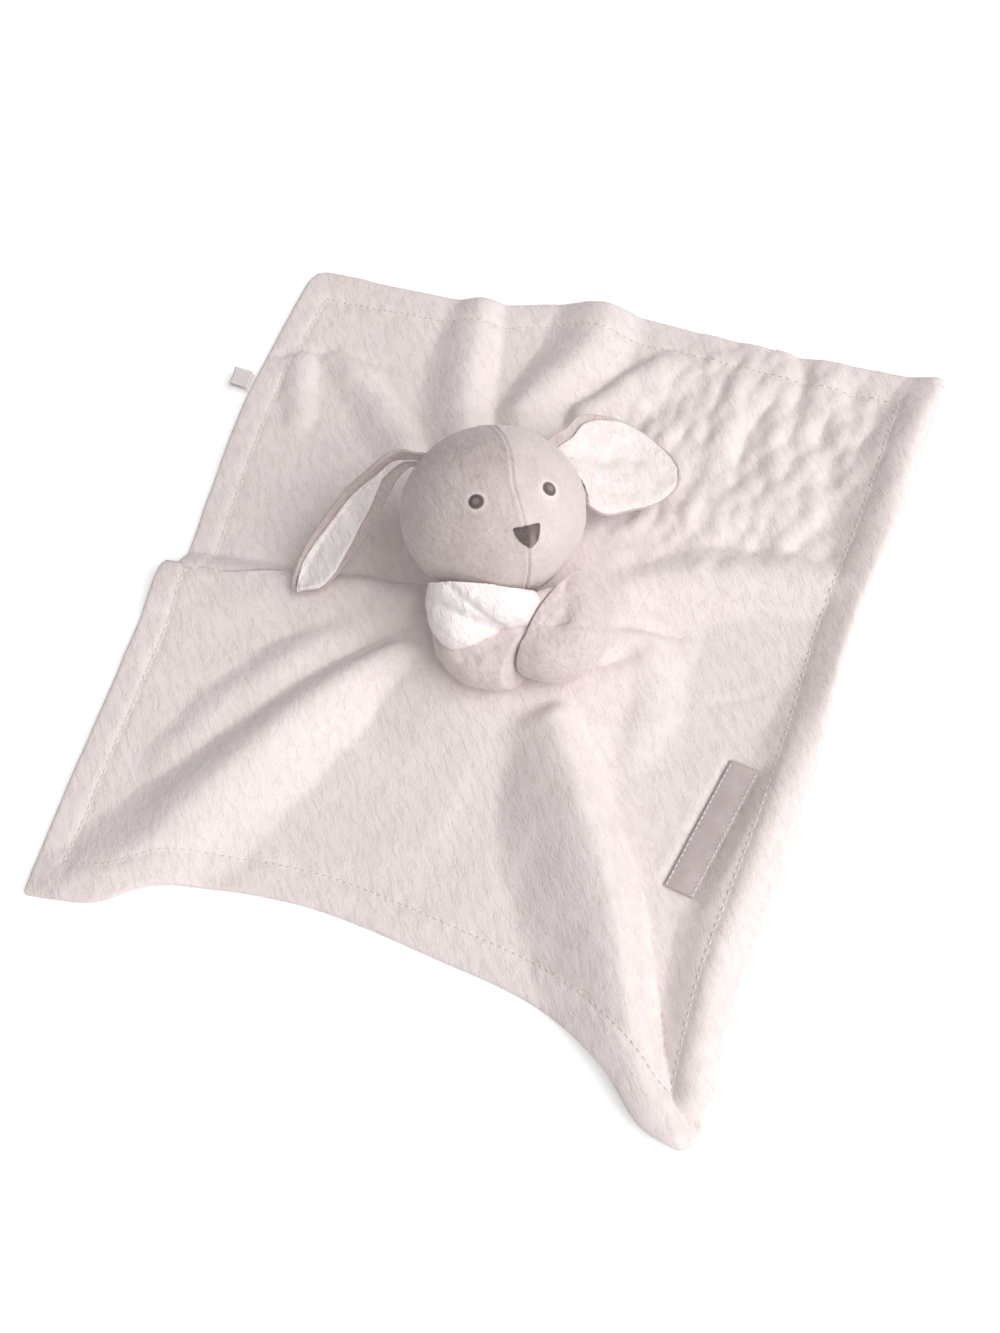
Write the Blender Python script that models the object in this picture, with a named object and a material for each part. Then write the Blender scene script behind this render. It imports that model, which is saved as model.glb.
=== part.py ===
# A comfort blanket: a square of plush cloth with a stuffed puppy's head and arms sewn at its middle.
# Metres, +Z up. The puppy looks along -Y, and left and right are the puppy's own, so its left is at +X.
# The blanket lies on a table with one corner to the front, and its folds run out from the neck.

import math

import bmesh
import bpy
from mathutils import Matrix, Vector
from mathutils.bvhtree import BVHTree

# Driving sizes
CLOTH_WIDTH = 0.355
CLOTH_THICKNESS = 0.003
HEM_WIDTH = 0.017
HEM_RISE = 0.0012
FOLD_HEIGHT = 0.022
FOLD_WIDTH = 0.05
SEAT_RISE = 0.009
SEAT_RADIUS = 0.04
SEAT_SLOPE = 0.045
HEAD_RADIUS = 0.0395
HEAD_RISE = 0.036
MUZZLE_DEPTH = 0.004
COVER_WALL = 0.0016
EAR_WALL = 0.0012
FILLING_PLAY = 0.0016
FIT_GAP = 0.0003
HEAD_PLAY = 0.0036
NECK_BALL = 0.0085
NECK_FLANGE = 0.0095
NECK_PLAY = 0.0012
neck_stem_share = 0.6
NECK_ROWS = 10
ARM_RADIUS = 0.0145

# Angles
HEAD_TURN = math.radians(17)
HEAD_RECLINE = math.radians(41)
HEAD_LEAN = math.radians(22)

# The outline of the cloth as it lies, in shares of CLOTH_WIDTH, from corner to corner
front_right_edge_shares = (
    (-0.665, -0.087), (-0.577, -0.140), (-0.479, -0.160), (-0.332, -0.252), (-0.206, -0.380),
    (-0.118, -0.479), (-0.073, -0.572), (-0.059, -0.648), (-0.028, -0.693),
)
back_left_edge_shares = (
    (-0.028, 0.693), (0.076, 0.592), (0.183, 0.496), (0.270, 0.445), (0.330, 0.397),
    (0.423, 0.301), (0.521, 0.197), (0.665, 0.070),
)
back_right_edge_shares = (
    (-0.665, -0.087), (-0.589, 0.017), (-0.480, 0.160), (-0.377, 0.290), (-0.352, 0.282),
    (-0.270, 0.400), (-0.177, 0.530), (-0.028, 0.693),
)
front_left_edge_shares = (
    (-0.028, -0.693), (0.008, -0.673), (0.104, -0.549), (0.259, -0.386), (0.394, -0.220),
    (0.518, -0.096), (0.665, 0.070),
)

# Each fold runs out from the neck: its crest as (x, y, height), x and y in shares of CLOTH_WIDTH and
# height in shares of FOLD_HEIGHT, and its widths left and right of that way, in shares of FOLD_WIDTH
fold_shares = {
    "front": (((0.050, -0.130, 0.45), (0.045, -0.250, 0.95), (0.028, -0.380, 1.00), (0.014, -0.476, 0.95),
               (-0.008, -0.560, 0.82), (-0.028, -0.630, 0.55), (-0.034, -0.670, 0.25)), 0.28, 1.00),
    "front_right": (((-0.115, -0.042, 0.42), (-0.177, -0.070, 0.50), (-0.273, -0.113, 0.42),
                     (-0.400, -0.138, 0.30), (-0.500, -0.152, 0.15)), 0.70, 0.44),
    "right": (((-0.068, 0.031, 0.45), (-0.177, 0.062, 0.42), (-0.287, 0.048, 0.30), (-0.448, 0.000, 0.15)),
              0.40, 0.36),
    "back_right": (((-0.062, 0.059, 0.45), (-0.135, 0.121, 0.45), (-0.208, 0.169, 0.38),
                    (-0.299, 0.239, 0.30), (-0.370, 0.285, 0.25)), 0.50, 0.24),
    "back": (((0.100, 0.170, 0.40), (0.101, 0.282, 0.42), (0.135, 0.403, 0.32), (0.175, 0.480, 0.22)),
             0.60, 0.36),
    "back_left": (((0.141, 0.197, 0.36), (0.175, 0.276, 0.36), (0.262, 0.338, 0.30), (0.335, 0.380, 0.20)),
                  0.30, 0.42),
    "back_corner": (((-0.008, 0.225, 0.36), (-0.008, 0.321, 0.34), (-0.037, 0.496, 0.22),
                     (-0.065, 0.535, 0.12)), 0.36, 0.44),
    "left": (((0.132, -0.079, 0.42), (0.276, -0.110, 0.32), (0.397, -0.175, 0.22)), 0.36, 0.28),
    "rolled_hem": (((0.500, -0.085, 0.15), (0.382, -0.214, 0.24), (0.247, -0.378, 0.27),
                    (0.095, -0.540, 0.27), (0.006, -0.650, 0.27)), 0.26, 0.26),
}
GRID_LINES = 25
hem_line_shares = (0.0, 0.45, 0.9, 1.3)
FOLD_BLEND = 3.0

# Places on the cloth, in shares of CLOTH_WIDTH
SEAT_CENTRE = Vector((0.034, -0.024, 0)) * CLOTH_WIDTH
head_centre_share = Vector((0.059, 0.071, 0))
HEAD_CLEARANCE = 0.0018
neck_depth_share = 0.958

# Arms, in shares of ARM_RADIUS: the places of the middle and of the shoulder seam from the seat under the
# neck, and the swellings, each with the way that it points, its reach ahead, behind, sideways and upwards
arm_shares = {
    "right": {
        "middle": (-1.11, -1.31, 1.48),
        "shoulder": (-1.02, 0.39, 0.79),
        "swellings": (((0.92, -0.34, -0.20), 1.80, 1.82, 1.72, 1.72),),
        "lining": (0.38, 0.62, 0.69),
        "meets": 1,
    },
    "left": {
        "middle": (1.20, -2.23, 1.06),
        "shoulder": (0.83, 0.23, 0.41),
        "swellings": (((-1.0, -0.06, -0.02), 1.80, 1.14, 1.42, 1.02), ((0.39, 0.80, 0.45), 1.95, 0.8, 0.86, 0.92),
                      ((-0.03, 0.97, -0.22), 2.30, 0.4, 0.60, 0.55)),
        "lining": (-0.05, 0.60, -0.80),
        "meets": -1,
    },
}
ARM_SIDES = 9
ARM_ROWS = 6
SWELL_BLEND = 6.0
CUT_BLEND = 12.0
RIM_GROWTH = 5.0
paw_meeting_share = Vector((0.14, -1.90, 0))
paw_meeting_side = Vector((-0.55, 0.83, 0)).normalized()

# Ears: both rims from the sewn end to the tip and the bow between them, in shares of EAR_REACH. The sewn
# end sits at such a share of HEAD_RADIUS from the head's centre. The lining faces up or down by its sign.
EAR_REACH = 0.0395
ear_shares = {
    "right": {
        "upper": ((-0.47, 0.80, 0.42), (-0.70, 0.99, 0.35), (-0.99, 1.07, 0.18), (-1.38, 1.18, -0.13),
                  (-1.82, 1.18, -0.48), (-2.18, 1.08, -0.73), (-2.36, 0.92, -0.84), (-2.36, 0.67, -0.86)),
        "lower": ((-0.53, 0.73, 0.34), (-0.70, 0.84, 0.22), (-0.92, 0.88, -0.02), (-1.20, 0.80, -0.32),
                  (-1.45, 0.78, -0.52), (-1.80, 0.72, -0.72), (-2.11, 0.65, -0.83), (-2.36, 0.67, -0.86)),
        "bow": (-0.05, 0.17, -0.10),
        "lining_sign": -1,
    },
    "left": {
        "upper": ((0.80, 0.60, -0.10), (0.96, 0.66, -0.04), (1.14, 0.70, -0.06), (1.38, 0.87, -0.18),
                  (1.74, 0.80, -0.43), (1.95, 0.56, -0.61), (2.05, 0.30, -0.72), (2.11, 0.07, -0.78)),
        "lower": ((0.92, 0.30, -0.28), (1.01, 0.06, -0.30), (1.08, -0.12, -0.38), (1.22, -0.25, -0.50),
                  (1.45, -0.24, -0.63), (1.71, -0.22, -0.73), (1.96, -0.14, -0.78), (2.11, 0.07, -0.78)),
        "bow": (0.04, 0.03, -0.08),
        "lining_sign": 1,
    },
}
EAR_COLUMNS = 6
EAR_ROWS = 8

# Face, as directions from the head's centre: turned to the side and raised
EYE_SIDE = math.radians(24.5)
EYE_UP = math.radians(15.5)
NOSE_DOWN = math.radians(10)
MUZZLE_SPREAD = math.radians(30)
nose_corner_share = 0.16
pad_ring_shares = (0.0, 0.55, 1.0)
EYE_RADIUS = 0.0032
NOSE_WIDTH = 0.0115
NOSE_HEIGHT = 0.0105
STITCH_RISE = 0.0012
HEAD_COLUMNS = 12
HEAD_ROWS = 12

# Labels
PATCH_LENGTH = 0.061
PATCH_WIDTH = 0.0135
PATCH_THICKNESS = 0.0007
LABEL_MARGIN = 0.016
PATCH_COLUMNS = 12
PATCH_ROWS = 4
patch_place_share = Vector((0.149, -0.368, 0))
PATCH_HEADING = math.radians(40)
TAG_WIDTH = 0.010
TAG_LENGTH = 0.011
TAG_THICKNESS = 0.0009
tag_edge_share = 0.79
ribbon_bend_share = 0.8


def material(name, colour, roughness):
    made = bpy.data.materials.new(name)
    made.use_nodes = True
    shader = made.node_tree.nodes["Principled BSDF"]
    shader.inputs["Base Color"].default_value = (*colour, 1)
    shader.inputs["Roughness"].default_value = roughness
    shader.inputs["Metallic"].default_value = 0
    return made


def along(points, share):
    """The point at a share of the way along a smooth curve through these points."""
    last = len(points) - 1
    place = min(max(share, 0.0), 1.0) * last
    step = min(int(place), last - 1)
    t = place - step
    before, start = points[max(step - 1, 0)], points[step]
    end, after = points[step + 1], points[min(step + 2, last)]
    return 0.5 * ((2 * start) + (end - before) * t + (2 * before - 5 * start + 4 * end - after) * t**2
                  + (3 * start - before - 3 * end + after) * t**3)


def edge_point(shares, share):
    """The point at this share of an edge's length."""
    points = [Vector((x, y, 0)) * CLOTH_WIDTH for x, y in shares]
    lengths = [(b - a).length for a, b in zip(points, points[1:])]
    rest = min(max(share, 0.0), 1.0) * sum(lengths)
    step = 0
    while step < len(lengths) - 1 and rest > lengths[step]:
        rest -= lengths[step]
        step += 1
    return along(points, (step + min(rest / lengths[step], 1.0)) / len(lengths))


def fade(share):
    """1 at 0, 0 from 1 on, with no kink at either end."""
    left = 1 - min(max(share, 0.0), 1.0)
    return left * left * (3 - 2 * left)


def fold_rise(crest_shares, left_share, right_share, x, y):
    """How high one fold lifts the cloth here."""
    crest = [(Vector((a, b)) * CLOTH_WIDTH, h * FOLD_HEIGHT) for a, b, h in crest_shares]
    here = Vector((x, y))
    nearest = None
    for (start, low), (end, high) in zip(crest, crest[1:]):
        way = end - start
        t = min(max((here - start).dot(way) / way.length_squared, 0.0), 1.0)
        off = here - start - way * t
        if nearest is None or off.length < nearest[0]:
            side = way.x * off.y - way.y * off.x
            width = FOLD_WIDTH * (left_share if side > 0 else right_share)
            nearest = (off.length, low + (high - low) * t, width)
    return nearest[1] * fade(nearest[0] / nearest[2])


def beside_label(x, y):
    """How far this place lies from the sewn label."""
    centre = patch_place_share * CLOTH_WIDTH
    local = Matrix.Rotation(-PATCH_HEADING, 3, "Z") @ (Vector((x, y, 0)) - centre)
    return math.hypot(max(abs(local.x) - PATCH_LENGTH / 2, 0), max(abs(local.y) - PATCH_WIDTH / 2, 0))


def cloth_lift(x, y):
    """Height of the cloth's underside: the flat seat under the puppy, and the folds."""
    away = (Vector((x, y, 0)) - SEAT_CENTRE).length
    seat = SEAT_RISE * fade((away - SEAT_RADIUS) / SEAT_SLOPE)
    rises = [fold_rise(*fold, x, y) for fold in fold_shares.values()]
    spread = 1 - fade((away - SEAT_RADIUS) / SEAT_SLOPE)
    spread *= 1 - fade(beside_label(x, y) / LABEL_MARGIN)
    total = (seat / FOLD_HEIGHT) ** FOLD_BLEND + sum((spread * rise / FOLD_HEIGHT) ** FOLD_BLEND for rise in rises)
    return FOLD_HEIGHT * total ** (1 / FOLD_BLEND)


def cloth_point(s, t, under):
    """A point of the cloth's top or underside at shares of its two sides, from the right corner."""
    front, back = edge_point(front_right_edge_shares, s), edge_point(back_left_edge_shares, s)
    right, left = edge_point(back_right_edge_shares, t), edge_point(front_left_edge_shares, t)
    corners = [edge_point(front_right_edge_shares, 0), edge_point(front_right_edge_shares, 1),
               edge_point(back_left_edge_shares, 0), edge_point(back_left_edge_shares, 1)]
    flat = (front * (1 - t) + back * t + right * (1 - s) + left * s
            - corners[0] * (1 - s) * (1 - t) - corners[1] * s * (1 - t)
            - corners[2] * (1 - s) * t - corners[3] * s * t)
    inside = min(s, 1 - s, t, 1 - t) * CLOTH_WIDTH
    hem = HEM_RISE if inside < HEM_WIDTH else 0
    flat.z = cloth_lift(flat.x, flat.y) + (0 if under else CLOTH_THICKNESS + hem)
    return flat


def finish(name, mesh_data, look, parent, smooth=True):
    mesh = bpy.data.meshes.new(name)
    mesh_data.to_mesh(mesh)
    mesh_data.free()
    if smooth:
        mesh.shade_smooth()
    mesh.materials.append(look)
    made = bpy.data.objects.new(name, mesh)
    bpy.context.scene.collection.objects.link(made)
    place_under(made, parent)
    return made


def place_under(made, parent):
    """Parents an object whose mesh is written in the part's own coordinates."""
    made.parent = parent
    made.matrix_parent_inverse = parent.matrix_world.inverted()


def shell(name, columns, rows, point, look, parent):
    """A closed body between two grids, the outer one laid through point(u, v, False) and the inner one
    through point(u, v, True). Points that fall together become one."""
    made = bmesh.new()
    bmesh.ops.create_grid(made, x_segments=columns, y_segments=rows, size=0.5)
    grown = bmesh.ops.extrude_face_region(made, geom=made.faces[:])
    inner = {item for item in grown["geom"] if isinstance(item, bmesh.types.BMVert)}
    for vert in made.verts:
        vert.co = point(vert.co.x + 0.5, vert.co.y + 0.5, vert in inner)
    return closed(name, made, look, parent)


def bag(name, columns, rows, point, look, parent):
    """A closed stuffed form from a grid whose sides meet at u = 0 and 1 and whose ends are poles."""
    made = bmesh.new()
    bmesh.ops.create_grid(made, x_segments=columns, y_segments=rows, size=0.5)
    for vert in made.verts:
        vert.co = point((vert.co.x + 0.5) % 1.0, vert.co.y + 0.5)
    return closed(name, made, look, parent)


def cup(name, columns, rows, point, look, parent):
    """A cup of one wall: from the middle of its outer side, v = 1, over its rim, v = 0, to the middle
    of its inner side."""
    def around(u, v):
        row = round(v * (2 * rows + 1))
        inside = row > rows
        return point(u, 1 - (2 * rows + 1 - row if inside else row) / rows, inside)

    return bag(name, columns, 2 * rows + 1, around, look, parent)


def closed(name, made, look, parent):
    bmesh.ops.remove_doubles(made, verts=made.verts, dist=FIT_GAP / 10)
    bmesh.ops.recalc_face_normals(made, faces=made.faces)
    if made.calc_volume(signed=True) < 0:
        bmesh.ops.reverse_faces(made, faces=made.faces)
    return finish(name, made, look, parent)


def head_pose():
    return (Matrix.Rotation(HEAD_TURN, 3, "Z") @ Matrix.Rotation(-HEAD_RECLINE, 3, "X")
            @ Matrix.Rotation(HEAD_LEAN, 3, "Y"))


SEAT_TOP = SEAT_RISE + CLOTH_THICKNESS
HEAD_TILT = head_pose() @ Vector((0, 0, 1))
HEAD_LOWEST = math.hypot(HEAD_RISE * HEAD_TILT.z, HEAD_RADIUS * math.sqrt(1 - HEAD_TILT.z**2))
HEAD_CENTRE = head_centre_share * CLOTH_WIDTH + Vector((0, 0, SEAT_TOP + HEAD_CLEARANCE + HEAD_LOWEST))
NECK_POINT = HEAD_CENTRE - HEAD_TILT * HEAD_RISE * neck_depth_share
SHOULDER_POINT = Vector((NECK_POINT.x, NECK_POINT.y, SEAT_TOP))


def head_point(side_angle, up_angle, inset=0.0):
    """A point of the head's surface. side_angle turns from the face to the puppy's left."""
    way = Vector((math.cos(up_angle) * math.sin(side_angle), -math.cos(up_angle) * math.cos(side_angle),
                  math.sin(up_angle)))
    nose_way = Vector((0, -math.cos(NOSE_DOWN), -math.sin(NOSE_DOWN)))
    from_nose = way.angle(nose_way)
    muzzle = MUZZLE_DEPTH * math.exp(-((from_nose / MUZZLE_SPREAD) ** 2))
    point = Vector((way.x * (HEAD_RADIUS - inset), way.y * (HEAD_RADIUS - inset), way.z * (HEAD_RISE - inset)))
    return HEAD_CENTRE + head_pose() @ (point + way * muzzle)


def clear_of_head(point, margin):
    """Pushes a soft point out of the room that the head turns and nods in."""
    local = head_pose().inverted() @ (point - HEAD_CENTRE)
    wide, tall = HEAD_RADIUS + margin, HEAD_RISE + margin
    depth = math.sqrt((local.x / wide) ** 2 + (local.y / wide) ** 2 + (local.z / tall) ** 2)
    return point if depth >= 1 else HEAD_CENTRE + (point - HEAD_CENTRE) / depth


def swell_reach(way, swelling, inset):
    """How far one swelling reaches this way from the arm's middle."""
    axis, ahead, behind, wide, thick = swelling
    axis = Vector(axis).normalized()
    upward = (Vector((0, 0, 1)) - axis * axis.z).normalized()
    parts = ((axis, ahead if way.dot(axis) > 0 else behind), (axis.cross(upward), wide), (upward, thick))
    return 1 / math.sqrt(sum((way.dot(side) / (share * ARM_RADIUS - inset)) ** 2 for side, share in parts))


def reach_to_oval(start, way, centre, turn, half_sizes):
    """How far this way an oval body lies. Past its rim the reach grows steadily, so that no cut is a
    cliff. It is None where the way leads off."""
    back = turn.inverted()
    place, ahead = back @ (start - centre), back @ way
    place = Vector([a / b for a, b in zip(place, half_sizes)])
    ahead = Vector([a / b for a, b in zip(ahead, half_sizes)])
    length = ahead.length
    towards = -place.dot(ahead) / length
    if towards <= 0:
        return None
    passing = math.sqrt(max(place.length_squared - towards**2, 0))
    if passing < 1:
        return (towards - math.sqrt(1 - passing**2)) / length
    return math.sqrt(place.length_squared - 1) * (1 + RIM_GROWTH * (passing - 1)) / length


def arm_point(arm, way, inset):
    """A point of an arm's surface this way from its middle: its swellings, cut by the head, the neck,
    the seat and the other arm."""
    middle = SHOULDER_POINT + Vector(arm["middle"]) * ARM_RADIUS
    swell = sum(swell_reach(way, swelling, inset) ** SWELL_BLEND for swelling in arm["swellings"])
    reaches = [swell ** (1 / SWELL_BLEND)]
    wide, tall = HEAD_RADIUS + HEAD_PLAY + inset, HEAD_RISE + HEAD_PLAY + inset
    reaches.append(reach_to_oval(middle, way, HEAD_CENTRE, head_pose(), (wide, wide, tall)))
    neck = NECK_FLANGE + 2 * FIT_GAP + inset
    reaches.append(reach_to_oval(middle, way, SHOULDER_POINT, Matrix.Identity(3), (neck, neck, HEAD_RADIUS)))
    if way.z < 0:
        reaches.append((middle.z - SEAT_TOP - FIT_GAP - inset) / -way.z)
    side = paw_meeting_side * arm["meets"]
    if way.dot(side) < 0:
        apart = (middle - SHOULDER_POINT - paw_meeting_share * ARM_RADIUS).dot(side) - FIT_GAP - inset
        reaches.append(apart / -way.dot(side))
    cut = sum(reach**-CUT_BLEND for reach in reaches if reach)
    return middle + way * cut ** (-1 / CUT_BLEND)


def make_blanket(look, root):
    hem_lines = [share * HEM_WIDTH / CLOTH_WIDTH for share in hem_line_shares]
    inner = GRID_LINES - 2 * len(hem_lines)
    start, end = hem_lines[-1], 1 - hem_lines[-1]
    lines = hem_lines + [start + (end - start) * (i + 1) / (inner + 1) for i in range(inner)]
    lines += [1 - line for line in reversed(hem_lines)]

    def point(u, v, under):
        last = GRID_LINES - 1
        return cloth_point(lines[round(u * last)], lines[round(v * last)], under)

    return shell("blanket", GRID_LINES - 1, GRID_LINES - 1, point, look, root)


def make_label_patch(blanket, look, root):
    """The woven label, sewn flat on the front left side, and left bare."""
    centre = patch_place_share * CLOTH_WIDTH
    turn = Matrix.Rotation(PATCH_HEADING, 3, "Z")
    cloth = BVHTree.FromPolygons([vert.co for vert in blanket.data.vertices],
                                 [face.vertices[:] for face in blanket.data.polygons])

    def top_at(u, v):
        place = centre + turn @ Vector(((u - 0.5) * PATCH_LENGTH, (v - 0.5) * PATCH_WIDTH, 0))
        place.z = cloth.ray_cast(place + Vector((0, 0, FOLD_HEIGHT * 2)), Vector((0, 0, -1)))[0].z
        return place

    def point(u, v, under):
        place = top_at(u, v)
        near = [top_at(u + a / PATCH_COLUMNS, v + b / PATCH_ROWS).z for a in (-1, 0, 1) for b in (-1, 0, 1)]
        place.z = max(near) + 2 * FIT_GAP + (0 if under else PATCH_THICKNESS)
        return place

    return shell("label_patch", PATCH_COLUMNS, PATCH_ROWS, point, look, root)


def tag_frame():
    """Where the care tag leaves the hem, and the way that it points."""
    edge = edge_point(back_right_edge_shares, tag_edge_share)
    ahead = edge_point(back_right_edge_shares, tag_edge_share + HEM_WIDTH / CLOTH_WIDTH)
    way = (ahead - edge).normalized()
    out = Vector((-way.y, way.x, 0))
    return edge + out * FIT_GAP + Vector((0, 0, CLOTH_THICKNESS)), way, out


def make_care_tag(look, body):
    """A ribbon folded in two, with both ends sewn in the hem."""
    start, way, out = tag_frame()
    bend = TAG_THICKNESS * ribbon_bend_share
    made = bmesh.new()
    profile = [(0, bend + TAG_THICKNESS), (TAG_LENGTH - bend, bend + TAG_THICKNESS)]
    profile += [(TAG_LENGTH - bend + (bend + TAG_THICKNESS) * math.sin(a), (bend + TAG_THICKNESS) * math.cos(a))
                for a in (math.radians(45), math.radians(90), math.radians(135))]
    profile += [(TAG_LENGTH - bend, -bend - TAG_THICKNESS), (0, -bend - TAG_THICKNESS), (0, -bend),
                (TAG_LENGTH - bend, -bend)]
    profile += [(TAG_LENGTH - bend + bend * math.sin(a), bend * math.cos(a))
                for a in (math.radians(135), math.radians(90), math.radians(45))]
    profile += [(TAG_LENGTH - bend, bend), (0, bend)]
    verts = [made.verts.new(start - way * TAG_WIDTH / 2 + out * x + Vector((0, 0, z))) for x, z in profile]
    face = made.faces.new(verts)
    grown = bmesh.ops.extrude_face_region(made, geom=[face])
    moved = [item for item in grown["geom"] if isinstance(item, bmesh.types.BMVert)]
    bmesh.ops.translate(made, verts=moved, vec=way * TAG_WIDTH)
    bmesh.ops.recalc_face_normals(made, faces=made.faces)
    return finish("care_tag", made, look, body, smooth=False)


def make_neck(look, neck):
    """The gathered neck: a stem that spreads on the seat and ends in a ball, on which the head rocks."""
    floor = SEAT_TOP + FIT_GAP
    stem = NECK_BALL * neck_stem_share
    dip = math.acos(neck_stem_share)
    low = NECK_POINT.z - NECK_BALL * math.sin(dip)
    outline = [(0, floor), (NECK_FLANGE, floor), (NECK_FLANGE, floor + COVER_WALL), (stem, (floor + low) / 2)]
    ball_rows = NECK_ROWS - len(outline)
    for row in range(ball_rows + 1):
        up = -dip + (math.pi / 2 + dip) * row / ball_rows
        outline.append((NECK_BALL * math.cos(up), NECK_POINT.z + NECK_BALL * math.sin(up)))

    def point(u, v):
        radius, height = outline[round(v * NECK_ROWS)]
        angle = 2 * math.pi * u
        return Vector((NECK_POINT.x + radius * math.cos(angle), NECK_POINT.y + radius * math.sin(angle), height))

    return bag("neck_gather", 16, NECK_ROWS, point, look, neck)


def make_head(looks, head):
    opening = math.asin((NECK_BALL + NECK_PLAY) / HEAD_RADIUS)
    low = -math.pi / 2 + opening
    aside = head_pose() @ Vector((FIT_GAP, 0, 0))

    def panel(side):
        def point(u, v, inside):
            up = low + (math.pi / 2 - low) * v
            return head_point(side * math.pi * u, up, COVER_WALL if inside else 0) + aside * side / 2
        return point

    for name, side in (("head_cover_left", 1), ("head_cover_right", -1)):
        shell(name, HEAD_COLUMNS, HEAD_ROWS, panel(side), looks["velour"], head)

    filling = bag("head_filling", 2 * HEAD_COLUMNS, HEAD_ROWS, lambda u, v: head_point(
        2 * math.pi * u, math.pi * (v - 0.5), COVER_WALL + FILLING_PLAY), looks["filling"], head)
    cutter_mesh = bmesh.new()
    bmesh.ops.create_uvsphere(cutter_mesh, u_segments=16, v_segments=10, radius=NECK_BALL + 3 * FIT_GAP,
                              matrix=Matrix.Translation(NECK_POINT))
    cutter = finish("neck_room", cutter_mesh, looks["filling"], head)
    cutter.hide_render = True
    cutter.display_type = "WIRE"
    cut = filling.modifiers.new("Neck room", "BOOLEAN")
    cut.operation = "DIFFERENCE"
    cut.object = cutter

    for name, side in (("eye_left", 1), ("eye_right", -1)):
        make_embroidery(name, side * EYE_SIDE, EYE_UP, lambda angle: EYE_RADIUS, looks["thread"], head)
    make_embroidery("nose", 0, -NOSE_DOWN, nose_outline, looks["thread"], head)


def nose_outline(angle):
    """Radius of a rounded triangle with its point down."""
    wide, tall = NOSE_WIDTH / 2, NOSE_HEIGHT / 2
    round_off = 1 + nose_corner_share * math.sin(3 * angle)
    return round_off * wide * tall / math.hypot(tall * math.cos(angle), wide * math.sin(angle))


def make_embroidery(name, side_angle, up_angle, outline, look, head):
    """A pad of satin stitch that follows the head's surface, made from its back's middle to its front's."""
    rings = [(share, 0) for share in pad_ring_shares]
    rings += [(share, STITCH_RISE * (1 - share**2 / 2)) for share in reversed(pad_ring_shares)]

    def point(u, v):
        share, rise = rings[round(v * (len(rings) - 1))]
        angle = 2 * math.pi * u
        reach = outline(angle) * share
        across = reach * math.cos(angle) / (HEAD_RADIUS * math.cos(up_angle))
        up = reach * math.sin(angle) / HEAD_RISE
        place = head_point(side_angle + across, up_angle + up)
        return place + (place - HEAD_CENTRE).normalized() * (FIT_GAP + rise)

    return bag(name, 12, len(rings) - 1, point, look, head)


def sewn_end(ear):
    """The middle of the ear's sewn end, in shares."""
    return (Vector(ear["upper"][0]) + Vector(ear["lower"][0])) / 2


def make_ear(side_name, ear, looks, body):
    sewn = sewn_end(ear)
    root = HEAD_CENTRE + sewn * HEAD_RADIUS
    upper = [root + (Vector(place) - sewn) * EAR_REACH for place in ear["upper"]]
    lower = [root + (Vector(place) - sewn) * EAR_REACH for place in ear["lower"]]
    bow = Vector(ear["bow"]) * EAR_REACH

    def middle(u, v):
        flat = along(upper, v).lerp(along(lower, v), u)
        bowed = flat + bow * 4 * u * (1 - u) * math.sin(math.pi * min(max(v, 0), 1)) ** 0.5
        return clear_of_head(bowed, EAR_WALL + 2 * FIT_GAP)

    def normal(u, v):
        step = 0.02
        v = min(max(v, 2 * step), 1 - 2 * step)
        across = middle(u + step, v) - middle(u - step, v)
        ahead = middle(u, v + step) - middle(u, v - step)
        return across.cross(ahead).normalized()

    facing = ear["lining_sign"]
    for part, sign, look in (("lining", facing, looks["plush"]), ("back", -facing, looks["velour"])):
        def point(u, v, inside, sign=sign):
            return middle(u, v) + normal(u, v) * sign * (FIT_GAP / 2 + (0 if inside else EAR_WALL))

        shell(f"ear_{side_name}_{part}", EAR_COLUMNS, EAR_ROWS, point, look, body)


def make_arm(side_name, arm, looks, body):
    pole = Vector(arm["lining"]).normalized()
    across = pole.orthogonal().normalized()
    along_seam = pole.cross(across)

    def way(turn, rise):
        flat = across * math.cos(turn) + along_seam * math.sin(turn)
        return flat * math.cos(rise) + pole * math.sin(rise)

    for part, sign, look in (("lining", 1, looks["plush"]), ("cover", -1, looks["velour"])):
        def point(u, v, inside, sign=sign):
            place = arm_point(arm, way(2 * math.pi * u, sign * v * math.pi / 2), COVER_WALL if inside else 0)
            return place + pole * sign * FIT_GAP / 2

        cup(f"arm_{side_name}_{part}", 2 * ARM_SIDES, ARM_ROWS, point, look, body)

    def inside_point(u, v):
        return arm_point(arm, way(2 * math.pi * u, (v - 0.5) * math.pi), COVER_WALL + FILLING_PLAY)

    bag(f"arm_{side_name}_filling", 2 * ARM_SIDES, 2 * ARM_ROWS, inside_point, looks["filling"], body)


def empty(name, place, parent):
    made = bpy.data.objects.new(name, None)
    bpy.context.scene.collection.objects.link(made)
    made.location = place - (parent.matrix_world.translation if parent else Vector())
    if parent:
        made.parent = parent
    bpy.context.view_layer.update()
    return made


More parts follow.
